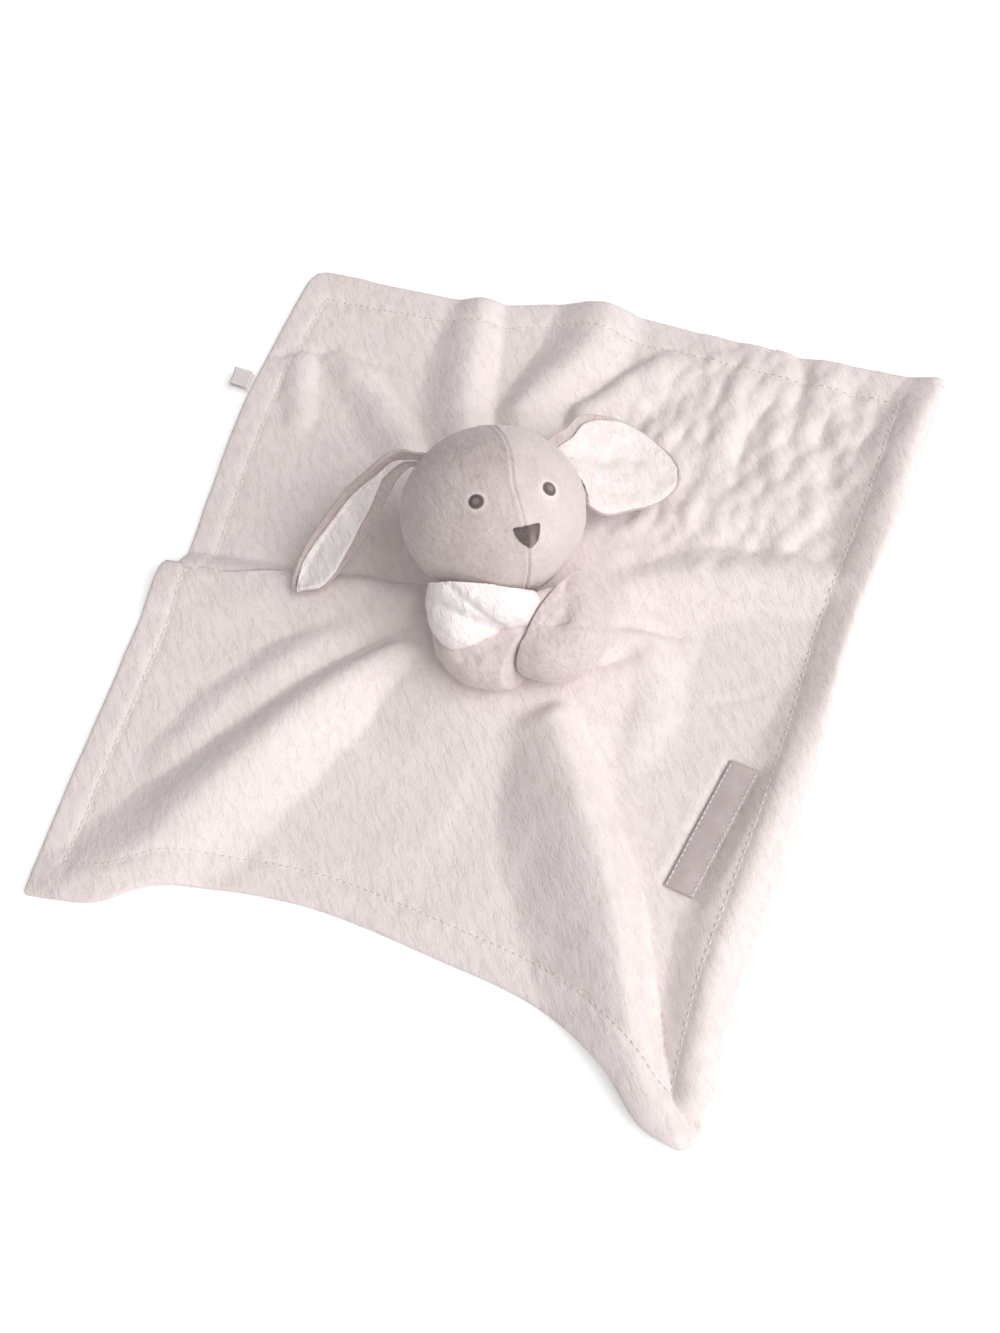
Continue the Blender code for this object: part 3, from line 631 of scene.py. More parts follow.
def foldHeight(crest, x, y):
    line = curveThrough(crest, 6)
    nearest = np.full(x.shape, 1e9)
    height = np.zeros(x.shape)
    for start, end in zip(line, line[1:]):
        way = (end - start)[:2]
        offX, offY = x - start[0], y - start[1]
        t = np.clip((offX * way[0] + offY * way[1]) / (way @ way), 0, 1)
        offX, offY = offX - t * way[0], offY - t * way[1]
        off = np.hypot(offX, offY)
        here = start[2:, None] + (end - start)[2:, None] * t
        width = np.where(way[0] * offY - way[1] * offX > 0, here[1], here[2])
        share = np.clip((np.sqrt(off**2 + 0.002**2) - 0.002) / width, 0, 1)
        height = np.where(off < nearest, here[0] * (1 - 0.5 * share - 0.5 * ease(share)), height)
        nearest = np.minimum(off, nearest)
    return height


def creaseDepth(x, y):  # how deep the lines pressed into the pile are
    depth = np.zeros(x.shape)
    for points, deep, width in blanketCreases:
        line = curveThrough(points, 6)
        nearest = np.full(x.shape, 1e9)
        for start, end in zip(line, line[1:]):
            way = end - start
            t = np.clip(((x - start[0]) * way[0] + (y - start[1]) * way[1]) / (way @ way), 0, 1)
            nearest = np.minimum(nearest, np.hypot(x - start[0] - t * way[0], y - start[1] - t * way[1]))
        ends = [np.hypot(x - p[0], y - p[1]) for p in (line[0], line[-1])]
        fade = ease(np.minimum(*ends) / 0.012) * 0.8 + 0.2
        depth = np.maximum(depth, deep * fade * np.exp(-((nearest / width) ** 2)))
    return depth


def besideLabel(x, y):
    centre, heading = labelPlace["centre"], labelPlace["heading"]
    dx, dy = x - centre[0], y - centre[1]
    ahead = dx * math.cos(heading) + dy * math.sin(heading)
    side = -dx * math.sin(heading) + dy * math.cos(heading)
    return np.hypot(np.maximum(abs(ahead) - labelPlace["length"] / 2, 0),
                    np.maximum(abs(side) - labelPlace["width"] / 2, 0))


def clothLift(x, y):
    away = np.hypot(x - blanketCut["seatCentre"][0], y - blanketCut["seatCentre"][1])
    slope = ease((away - blanketCut["seatRadius"]) / blanketCut["seatSlope"])
    power = blanketCut["blend"]
    total = (blanketCut["seatRise"] * (1 - slope)) ** power
    free = ease((away - blanketCut["foldStart"]) / blanketCut["foldFade"]) * ease(besideLabel(x, y) / 0.009)
    for crest in blanketFolds.values():
        total = total + (foldHeight(crest, x, y) * free) ** power
    return total ** (1 / power)


def clothMiddle(s, t):
    # the cloth's middle layer at shares of its two sides, from the puppy's right corner
    r = np.where((s < 0.5) & (t > 0.5), blanketCut["cornerRound"], blanketCut["cornerTight"])
    r = r / blanketCut["side"]
    a, b = np.sign(s - 0.5), np.sign(t - 0.5)
    nearS = np.clip((r - np.minimum(s, 1 - s)) / r, 0, 1)
    nearT = np.clip((r - np.minimum(t, 1 - t)) / r, 0, 1)
    s = s + a * r * nearS * (np.sqrt(1 - nearT**2 / 2) - 1)
    t = t + b * r * nearT * (np.sqrt(1 - nearS**2 / 2) - 1)
    front, back = alongCurve(blanketEdges["frontRight"], s), alongCurve(blanketEdges["backLeft"], s)
    right, left = alongCurve(blanketEdges["backRight"], t), alongCurve(blanketEdges["frontLeft"], t)
    corners = [np.array(blanketEdges[edge][end]) for edge in ("frontRight", "backLeft") for end in (0, -1)]
    s1, t1 = s[:, None], t[:, None]
    flat = (front * (1 - t1) + back * t1 + right * (1 - s1) + left * s1
            - corners[0] * (1 - s1) * (1 - t1) - corners[1] * s1 * (1 - t1)
            - corners[2] * (1 - s1) * t1 - corners[3] * s1 * t1)
    x, y = flat[:, 0], flat[:, 1]
    away = np.hypot(x - blanketCut["seatCentre"][0], y - blanketCut["seatCentre"][1])
    free = ease((away - 0.035) / 0.03) * ease(besideLabel(x, y) / 0.02)
    places = np.column_stack([x, y, np.zeros(len(x))])
    centre, reach = blanketCut["crumpleCentre"], blanketCut["crumpleReach"]
    crumpled = ease(1.55 - np.hypot((x - centre[0]) / reach[0], (y - centre[1]) / reach[1]))
    soft = bumps(places, 0.050, 3) * 0.0010
    crumples = (0.9 + bumps(places @ crumpleTurn, 0.0125, 5)) * blanketCut["crumpleRise"] * crumpled
    crumples += bumps(places @ crumpleTurn, 0.0065, 6) * 0.0006 * crumpled
    fine = bumps(places, 0.020, 8) * 0.0005
    lift = clothLift(x, y) + free * (np.maximum(soft, -0.0004) + crumples + fine)
    lift = np.minimum(lift, headUnder(x, y) - blanketCut["wall"] - blanketCut["underHead"])
    lift = np.maximum(lift, 0) + blanketCut["wall"] / 2
    return np.column_stack([x, y, lift])


# crumples run from front left to back right
crumpleTurn = np.array(((0.40, -0.70, 0), (0.40, 0.70, 0), (0, 0, 1)))


def clothNormals(s, t):
    step = 0.003
    across = clothMiddle(np.clip(s + step, 0, 1), t) - clothMiddle(np.clip(s - step, 0, 1), t)
    ahead = clothMiddle(s, np.clip(t + step, 0, 1)) - clothMiddle(s, np.clip(t - step, 0, 1))
    normal = np.cross(across, ahead)
    return normal / np.linalg.norm(normal, axis=1)[:, None]


def gridShares():  # the grid's lines stand close together at the border and its stitches
    side, count = blanketCut["side"], blanketCut["lines"]
    fine = np.array((0, 0.0003, 0.0008, 0.0016, 0.0027, 0.0042, 0.006, 0.008, 0.010, 0.012,
                     0.0136, 0.0148, 0.0157, 0.0165, 0.0173, 0.0182, 0.0194, 0.021)) / side
    inner = np.linspace(fine[-1], 1 - fine[-1], count + 1 - 2 * (len(fine) - 1))
    return np.concatenate([fine[:-1], inner, 1 - fine[:-1][::-1]])


def hemProfile(inside, alongEdge, side):
    # how much the turned hem stands up above the single cloth, and its stitch line dips
    hem, pitch = blanketCut["hemWidth"], blanketCut["stitchPitch"]
    body = ease((hem - inside) / 0.004) * np.sin(np.pi * np.clip(inside / hem, 0.12, 0.94)) ** 0.35
    ladder = 0.9 + 0.15 * np.cos(2 * np.pi * alongEdge / pitch)
    pucker = 0.00012 * np.cos(2 * np.pi * alongEdge / (pitch * 2.7) + side)
    pucker *= np.exp(-((inside - hem) / 0.006) ** 2)
    dip = blanketCut["stitchDip"] * ladder * np.exp(-((inside - hem) / 0.0021) ** 2)
    return body * blanketCut["hemRise"] - dip + pucker


def makeBlanket():
    shares = gridShares()
    n = len(shares) - 1
    s, t = (grid.ravel() for grid in np.meshgrid(shares, shares, indexing="ij"))
    middle, normal = clothMiddle(s, t), clothNormals(s, t)
    side = blanketCut["side"]
    edges = np.stack([s, 1 - s, t, 1 - t]) * side
    inside = edges.min(axis=0)
    which = edges.argmin(axis=0)
    alongEdge = np.where(which < 2, t, s) * side
    rounding = np.sqrt(np.maximum(1 - np.clip(1 - inside / blanketCut["edgeRound"], 0, 1) ** 2, 0))
    flat = np.column_stack([s * side, t * side, np.zeros(len(s))])
    pile = bumps(flat * (1, 1.6, 1), 0.0050, 11, 3) * 0.00013
    pile += bumps(flat * (1.4, 1, 1), 0.0022, 13, 2) * 0.00006
    upper = blanketCut["wall"] / 2 + hemProfile(inside, alongEdge, which) + pile
    upper -= creaseDepth(middle[:, 0], middle[:, 1])
    upper -= 0.0012 * (1 - ease(besideLabel(middle[:, 0], middle[:, 1]) / 0.003))
    x, y = middle[:, 0], middle[:, 1]
    away = np.hypot(x - blanketCut["seatCentre"][0], y - blanketCut["seatCentre"][1])
    seated = 1 - ease((away - 0.030) / 0.012)
    upper = upper * (1 - seated) + np.minimum(upper, blanketCut["wall"] / 2 - 0.0003) * seated
    top = middle + normal * (upper * rounding)[:, None]
    under = middle - normal * (blanketCut["wall"] / 2 * rounding)[:, None]
    under[:, 2] = np.maximum(under[:, 2], 0.00005)
    form = bmesh.new()
    bmesh.ops.create_grid(form, x_segments=n, y_segments=n, size=0.5)
    grown = bmesh.ops.extrude_face_region(form, geom=form.faces[:])
    lower = {item for item in grown["geom"] if isinstance(item, bmesh.types.BMVert)}
    for v in form.verts:
        spot = round((v.co.x + 0.5) * n) * (n + 1) + round((v.co.y + 0.5) * n)
        v.co = under[spot] if v in lower else top[spot]
    bmesh.ops.recalc_face_normals(form, faces=form.faces)
    return finishPiece("blanket_cloth", form, looks["fleece"], "blanket", ("blanket",))


blanketCloth = makeBlanket()
print("blanket made")


def clothTop(s, t, rise=0.0):
    s, t = np.atleast_1d(s).astype(float), np.atleast_1d(t).astype(float)
    normal = clothNormals(s, t)
    return clothMiddle(s, t) + normal * (blanketCut["wall"] / 2 + rise), normal


def sewnStitches(name, places, normals, ways, length, radius, look, body):
    # one short thread at each place, lying on the cloth
    form = bmesh.new()
    for place, normal, way in zip(places, normals, ways):
        way = Vector(way).normalized()
        upward = Vector(normal)
        upward = (upward - way * upward.dot(way)).normalized()
        turn = Matrix((upward.cross(way), upward, way)).transposed().to_4x4()
        turn.translation = Vector(place)
        bmesh.ops.create_uvsphere(form, u_segments=6, v_segments=4, radius=1,
                                  matrix=turn @ Matrix.Diagonal((radius, radius, length / 2, 1)))
    return finishPiece(name, form, look, body)


def makeHemStitches():
    side, pitch = blanketCut["side"], blanketCut["stitchPitch"]
    hem = blanketCut["hemWidth"] / side
    run = np.arange(hem * side + pitch / 2, side - hem * side, pitch) / side
    sides = ((run, np.full(len(run), hem)), (run, np.full(len(run), 1 - hem)),
             (np.full(len(run), hem), run), (np.full(len(run), 1 - hem), run))
    places, normals, ways = [], [], []
    for s, t in sides:
        place, normal = clothTop(s, t, 0.0002 - blanketCut["stitchDip"] * 0.6)
        places.append(place)
        normals.append(normal)
        ways.append(np.gradient(place, axis=0))
    return sewnStitches("hem_stitches", np.vstack(places), np.vstack(normals), np.vstack(ways),
                        pitch * blanketCut["stitchShare"], blanketCut["stitchRadius"], looks["hemThread"],
                        "blanket")


hemStitches = makeHemStitches()
print("hem sewn")

# The head and face

def wayAt(sideAngle, upAngle):
    return np.array((math.cos(upAngle) * math.sin(sideAngle), -math.cos(upAngle) * math.cos(sideAngle),
                     math.sin(upAngle)))


def seamPlace(up):  # how far the face's seam wanders to the puppy's left, from the crown to the chin
    middle, slant = headForm["seamAside"]
    return middle + slant * up + headForm["seamCrown"] * ease((up - 0.3) / 0.6)


def headSurface(ways, seam=1.0):
    # places on the head for unit ways in the head's own axes: puppy's left, back, up
    nose = wayAt(headForm["noseAside"], -headForm["noseDown"])
    fromNose = np.arccos(np.clip(ways @ nose, -1, 1))
    muzzle = headForm["muzzle"] * np.exp(-((fromNose / headForm["muzzleSpread"]) ** 2))
    oval = ways * (headForm["radius"], headForm["radius"], headForm["rise"])
    front = ease((0.35 - ways[:, 1]) / 0.5)
    across = oval[:, 0] - seamPlace(ways[:, 2]) * front * headForm["radius"]
    aside = abs(across)
    width = headForm["seamWidth"]
    low = ease((-ways[:, 2] - 0.22) / 0.2) * (ways[:, 1] < 0)
    dip = headForm["seamDip"] * (1 + 0.8 * low) * np.exp(-((aside / width) ** 2))
    puff = headForm["seamPuff"] * np.exp(-(((aside - width * 2.6) / (width * 2.4)) ** 2))
    puff *= np.where(across < 0, 0.9, 0.5) - 0.1 * low
    pulled = np.exp(-((fromNose - 0.18) / 0.14) ** 2) * 0.0005
    cheek = 0.0007 * np.exp(-(((aside - 0.012) / 0.008) ** 2)) * np.exp(-((fromNose - 0.5) / 0.3) ** 2)
    return oval + ways * (muzzle - pulled + cheek + (puff - dip) * seam)[:, None]


def toRow(local):
    return local @ headAxes.T + np.array(headCentre)


eyePlace = {
    "side": math.radians(22.8),
    "aside": math.radians(1.0),
    "up": math.radians(16.3),
    "radius": 0.0032,
}


def makeHead():
    form = bmesh.new()
    bmesh.ops.create_uvsphere(form, u_segments=headForm["around"], v_segments=headForm["up"], radius=1)
    ways = np.array([v.co for v in form.verts])
    longitude = np.arctan2(ways[:, 0], -ways[:, 1])
    warped = longitude - 0.72 * np.sin(2 * longitude) / 2
    flatReach = np.hypot(ways[:, 0], ways[:, 1])
    ways = np.column_stack([flatReach * np.sin(warped), -flatReach * np.cos(warped), ways[:, 2]])
    local = headSurface(ways)
    gather = ease((-ways[:, 2] - 0.72) / 0.25)
    local += ways * (0.0009 * gather * np.sin(13 * warped))[:, None]
    local += ways * (bumps(local, 0.0035, 21, 2) * 0.00010 + bumps(local, 0.016, 23, 2) * 0.00035)[:, None]
    brushed = form.verts.layers.float.new("brushed")
    rings = np.zeros(len(ways))
    for sign in (1, -1):
        eye = wayAt(eyePlace["aside"] + sign * eyePlace["side"], eyePlace["up"])
        out = np.arccos(np.clip(ways @ eye, -1, 1)) * headForm["radius"]
        rings += np.exp(-((out - eyePlace["radius"] - 0.0006) / 0.0012) ** 2)
    across = (ways[:, 0] - seamPlace(ways[:, 2])) * headForm["radius"]
    ridge = np.exp(-((across + 0.0010) / 0.0008) ** 2) * (ways[:, 1] < 0.2)
    # the puppy's left half, which faces the light, is painted paler, and the crown of its right half is
    # painted darker, as painted light and shade; the rings round the eyes and a line beside the seam are
    # painted highlights; the mottle is random tone
    half = ease(across / 0.003 + 0.5) * ease((0.9 - ways[:, 1]) / 0.5)
    crown = ease((ways[:, 2] - 0.45) / 0.4) * (1 - half)
    mottle = bumps(local, 0.010, 27, 3) * 0.13
    paleForLightAndMottle = np.clip(0.22 + half * 0.30 - crown * 0.24 + mottle + rings * 0.55 + ridge * 0.16, 0, 1)
    for v, place, paler in zip(form.verts, toRow(local), paleForLightAndMottle):
        v.co = place
        v[brushed] = paler
    bmesh.ops.recalc_face_normals(form, faces=form.faces)
    return finishPiece("head_cover", form, looks["faceVelour"], "head",
                       ("head_cover_left", "head_cover_right", "head_filling"))


headCover = makeHead()


def embroiderPad(name, sideAngle, upAngle, reach, rise, ridges, look, replaced):
    # a pad of satin stitches: a round grid laid on the head, domed, with its threads as ridges
    form = bmesh.new()
    rings, around = 26, 72
    bmesh.ops.create_circle(form, cap_ends=False, segments=around, radius=1)
    edge = form.edges[:]
    for k in range(rings - 1):
        grown = bmesh.ops.extrude_edge_only(form, edges=edge)
        edge = [e for e in grown["geom"] if isinstance(e, bmesh.types.BMEdge)]
        moved = [v for v in grown["geom"] if isinstance(v, bmesh.types.BMVert)]
        share = 1 - (k + 1) / rings
        for v in moved:
            v.co = v.co.normalized() * max(share, 0.02)
    bmesh.ops.contextual_create(form, geom=edge)
    centre = wayAt(sideAngle, upAngle)
    east = np.cross((0, 0, 1), centre)
    east /= np.linalg.norm(east)
    north = np.cross(centre, east)
    flat = np.array([v.co for v in form.verts])
    angle = np.arctan2(flat[:, 1], flat[:, 0])
    share = np.hypot(flat[:, 0], flat[:, 1])
    out = reach(angle) * share
    ways = centre + np.outer(out * np.cos(angle), east) / headForm["radius"]
    ways += np.outer(out * np.sin(angle), north) / headForm["radius"]
    ways /= np.linalg.norm(ways, axis=1)[:, None]
    base = headSurface(ways, 0.0)
    thread = ridges * np.cos(2 * np.pi * out * np.cos(angle) / 0.00052)
    dome = rise * np.sqrt(np.maximum(1 - share**2.6, 0)) + thread * (share < 0.97)
    top = base + ways * (dome + 0.0002)[:, None]
    padPlace = form.verts.layers.float_vector.new("padPlace")
    for v, place, x, y in zip(form.verts, toRow(top), flat[:, 0], flat[:, 1]):
        v.co = place
        v[padPlace] = (x, y, 0)
    rim = [e for e in form.edges if e.is_boundary]
    grown = bmesh.ops.extrude_edge_only(form, edges=rim)
    inward = Vector(headAxes @ centre) * -0.0011
    moved = [v for v in grown["geom"] if isinstance(v, bmesh.types.BMVert)]
    bmesh.ops.translate(form, verts=moved, vec=inward)
    bmesh.ops.contextual_create(form, geom=[e for e in grown["geom"] if isinstance(e, bmesh.types.BMEdge)])
    bmesh.ops.recalc_face_normals(form, faces=form.faces)
    return finishPiece(name, form, look, "head", replaced)


def noseReach(angle):
    # a shield: flat at the top, steep on the puppy's left and running down to a point on that side
    out = 0
    for side, near in ((92, 0.0040), (349, 0.0048), (312, 0.0053), (226, 0.0041), (198, 0.0044)):
        out = out + (np.maximum(np.cos(angle - math.radians(side)), 0) / near) ** 9
    return np.minimum(out ** (-1 / 9), 0.0066)


for sideName, sign in (("left", 1), ("right", -1)):
    embroiderPad(f"eye_{sideName}_pad", eyePlace["aside"] + sign * eyePlace["side"], eyePlace["up"],
                 lambda angle: eyePlace["radius"] + 0 * angle, 0.0007, 0.00007, looks["eyes"],
                 (f"eye_{sideName}",))
embroiderPad("nose_pad", headForm["noseAside"], -headForm["noseDown"], noseReach, 0.0012, 0.00009,
             looks["nose"], ("nose",))
print("head and face made")

# The neck, under the head

neckForm = {
    "around": 96,
    "rows": 24,
    "waist": 0.0062,
    "skirt": 0.0032,
    "collar": 0.0018,
    "pleats": 15,
    "pleatShare": 0.07,
}


def makeNeck():
    low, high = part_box("neck_gather")
    form = bmesh.new()
    bmesh.ops.create_cone(form, cap_ends=True, segments=neckForm["around"], radius1=1, radius2=1, depth=1)
    bmesh.ops.bisect_plane(form, geom=form.verts[:] + form.edges[:] + form.faces[:], plane_co=(0, 0, 0),
                           plane_no=(0, 0, 1))
    sides = [e for e in form.edges if abs(e.verts[0].co.z - e.verts[1].co.z) > 0.1]
    bmesh.ops.subdivide_edges(form, edges=sides, cuts=neckForm["rows"] // 2, use_grid_fill=True)
    centre = (low + high) / 2
    for v in form.verts:
        up = v.co.z + 0.5
        angle = math.atan2(v.co.y, v.co.x)
        waist = neckForm["waist"] + neckForm["skirt"] * (1 - min(up / 0.3, 1)) ** 2
        waist += neckForm["collar"] * max(up - 0.55, 0) / 0.45
        pleat = 1 + neckForm["pleatShare"] * math.cos(neckForm["pleats"] * angle)
        reach = waist * pleat * math.sqrt(max(1 - max(up - 0.75, 0) ** 2 * 12, 0.05))
        v.co = Vector((centre.x + reach * math.cos(angle), centre.y + reach * math.sin(angle),
                       low.z + up * (high.z - low.z)))
    bmesh.ops.recalc_face_normals(form, faces=form.faces)
    return finishPiece("neck_pleats", form, looks["velour"], "neck", ("neck_gather",))


makeNeck()

# The ears

earForm = {
    "across": 40,
    "along": 64,
    "headPlay": 0.0011,
    "sewnIn": -0.0006,  # how far the root's middle stays out of the head
    "rootShare": 0.09,
    "backWall": 0.0013,
    "liningWall": 0.0019,
}
# both rims of each ear from its sewn end to its tip and the bow between them, in head radii from the head's
# middle, then the lining's side and how far it stops short of the rims, in metres
ears = {
    "right": {
        "upper": ((-0.45, 0.77, 0.405), (-0.70, 0.99, 0.35), (-0.99, 1.07, 0.18), (-1.38, 1.18, -0.13),
                  (-1.82, 1.17, -0.49), (-2.19, 1.03, -0.71), (-2.38, 0.84, -0.82), (-2.43, 0.63, -0.84)),
        "lower": ((-0.53, 0.73, 0.34), (-0.70, 0.84, 0.22), (-0.92, 0.88, -0.02), (-1.20, 0.80, -0.32),
                  (-1.45, 0.75, -0.53), (-1.80, 0.63, -0.70), (-2.13, 0.52, -0.81), (-2.43, 0.63, -0.84)),
        "bow": (-0.05, 0.17, -0.10),
        "liningSign": -1,
        "rim": (0.0040, 0.0056, 0.0052, 0.0018),
        "lowerRim": (0.0010, 0.0030, 0.0028, 0.0006, 0.0003),
        "creases": (((0.45, 0.05), (0.40, 0.40), (0.50, 0.80)), 0.0007, 0.10),
        "look": "palerPlushForShade",
    },
    "left": {
        "upper": ((0.80, 0.60, -0.10), (0.96, 0.66, -0.04), (1.14, 0.70, -0.06), (1.38, 0.87, -0.18),
                  (1.74, 0.80, -0.43), (1.97, 0.57, -0.60), (2.11, 0.30, -0.71), (2.14, 0.10, -0.78)),
        "lower": ((0.88, 0.28, -0.29), (0.93, 0.02, -0.32), (1.00, -0.16, -0.40), (1.15, -0.29, -0.52),
                  (1.45, -0.28, -0.65), (1.76, -0.26, -0.75), (2.03, -0.13, -0.79), (2.14, 0.10, -0.78)),
        "bow": (0.04, 0.03, -0.08),
        "liningSign": 1,
        "rim": (0.0058, 0.0042, 0.0008, 0.0003),
        "lowerRim": (0.0003, 0.0003),
        "creases": (((0.28, 0.04), (0.42, 0.28), (0.42, 0.60)), 0.0026, 0.11),
        "look": "plush",
    },
}
earReach = 0.0395


def outOfHead(places, margin, centre=None, axes=headAxes):
    # moves places out of the head's oval and this much more
    centre = np.array(headCentre) if centre is None else centre
    local = (places - centre) @ axes
    depth = np.sqrt((local[:, 0] / (headForm["radius"] + margin)) ** 2
                    + (local[:, 1] / (headForm["radius"] + margin)) ** 2
                    + (local[:, 2] / (headForm["rise"] + margin)) ** 2)
    grow = np.where(depth < 1, 1 / np.maximum(depth, 1e-6), 1)
    return places * grow[:, None] + centre * (1 - grow)[:, None]


def earMiddle(ear, u, v):
    upper = alongCurve(np.array(ear["upper"]) * earReach, v)
    lower = alongCurve(np.array(ear["lower"]) * earReach, v)
    flat = upper * (1 - u)[:, None] + lower * u[:, None]
    bow = np.array(ear["bow"]) * earReach
    places = flat + bow * (4 * u * (1 - u) * np.sin(np.pi * np.clip(v, 0.001, 1)) ** 0.5)[:, None]
    free = earForm["backWall"] + earForm["headPlay"]
    clear = earForm["sewnIn"] + (free - earForm["sewnIn"]) * ease(v / earForm["rootShare"])
    return outOfHead(places + np.array(headCentre), clear)


def earNormals(ear, u, v):
    step = 0.02
    u, v = np.clip(u, step, 1 - step), np.clip(v, 2 * step, 1 - 2 * step)
    across = earMiddle(ear, u + step, v) - earMiddle(ear, u - step, v)
    ahead = earMiddle(ear, u, v + step) - earMiddle(ear, u, v - step)
    normal = np.cross(across, ahead)
    return normal / np.linalg.norm(normal, axis=1)[:, None]


def makeEarLayer(name, ear, sign, wall, pile, look, body, replaced, seed,
                 rim=(), lowerRim=(), crease=None):
    m, n = earForm["across"], earForm["along"]
    form = bmesh.new()
    bmesh.ops.create_grid(form, x_segments=m, y_segments=n, size=0.5)
    grown = bmesh.ops.extrude_face_region(form, geom=form.faces[:])
    outer = {item for item in grown["geom"] if isinstance(item, bmesh.types.BMVert)}
    i, j = np.meshgrid(np.arange(m + 1), np.arange(n + 1), indexing="ij")
    # rows crowd towards the rims, so that the rolled edge is round
    u = (0.5 - 0.5 * np.cos(np.pi * i.ravel() / m)) * 0.5 + 0.5 * i.ravel() / m
    v = (0.5 - 0.5 * np.cos(np.pi * j.ravel() / n)) * 0.5 + 0.5 * j.ravel() / n
    if rim:  # the lining stops short of the rims, where the back's cloth rolls over
        wide = earMiddle(ear, np.ones(len(v)), v) - earMiddle(ear, np.zeros(len(v)), v)
        wide = np.maximum(np.linalg.norm(wide, axis=1), 0.006)
        start, end = (np.interp(v, np.linspace(0, 1, len(w)), w) / wide for w in (rim, lowerRim))
        u = start + (1 - start - end) * u
    middle, normal = earMiddle(ear, u, v), earNormals(ear, u, v) * sign
    rim = np.minimum(np.minimum(u, 1 - u) * 0.030, (1 - v) * 0.060)
    full = np.sqrt(np.maximum(1 - np.clip(1 - rim / 0.0022, 0, 1) ** 2, 0))
    fluff = bumps(middle, 0.0042, seed, 3) * pile + bumps(middle, 0.013, seed + 2, 2) * 0.0011
    swell = 0.0008 * np.sin(np.pi * np.clip(u, 0, 1)) * np.sin(np.pi * np.clip(v, 0, 1))
    if crease:
        points, deep, width = crease
        line = curveThrough(points, 8)
        off = np.hypot(u[:, None] - line[None, :, 0], v[:, None] - line[None, :, 1]).min(axis=1)
        swell -= deep * np.exp(-((off / width) ** 2))
    outside = middle + normal * (0.00012 + (wall + fluff + swell) * (0.12 + 0.88 * full))[:, None]
    inside = middle + normal * 0.00012
    for vert in form.verts:
        spot = round((vert.co.x + 0.5) * m) * (n + 1) + round((vert.co.y + 0.5) * n)
        vert.co = outside[spot] if vert in outer else inside[spot]
    bmesh.ops.remove_doubles(form, verts=form.verts, dist=0.00002)
    bmesh.ops.recalc_face_normals(form, faces=form.faces)
    return finishPiece(name, form, look, body, replaced)


for sideName, ear in ears.items():
    body = f"ear_{sideName}"
    back = makeEarLayer(f"ear_{sideName}_back_cloth", ear, -ear["liningSign"], earForm["backWall"], 0.00012,
                        looks["velour"], body, (f"ear_{sideName}_back",), 31)
    lining = makeEarLayer(f"ear_{sideName}_lining_plush", ear, ear["liningSign"],
                          earForm["liningWall"], 0.00022,
                          looks[ear["look"]], body, (f"ear_{sideName}_lining",), 37, ear["rim"],
                          ear["lowerRim"], ear["creases"])
print("ears made")

# The arms

armForm = {
    "seat": 0.0124,
    "headPlay": 0.0015,
    "chinAxis": (0.42, 0.88, 0.20),  # the way in which the nodding chin presses the arms, from the paws
    "chinAnchor": (-0.004, -0.038, 0.018),
    "chinKeep": 0.92,
    "gap": 0.0006,
    "voxel": 0.0008,
}
pawsMeet = {"place": (0.0184, -0.0286, 0.032), "side": (-0.548, 0.828, -0.12)}
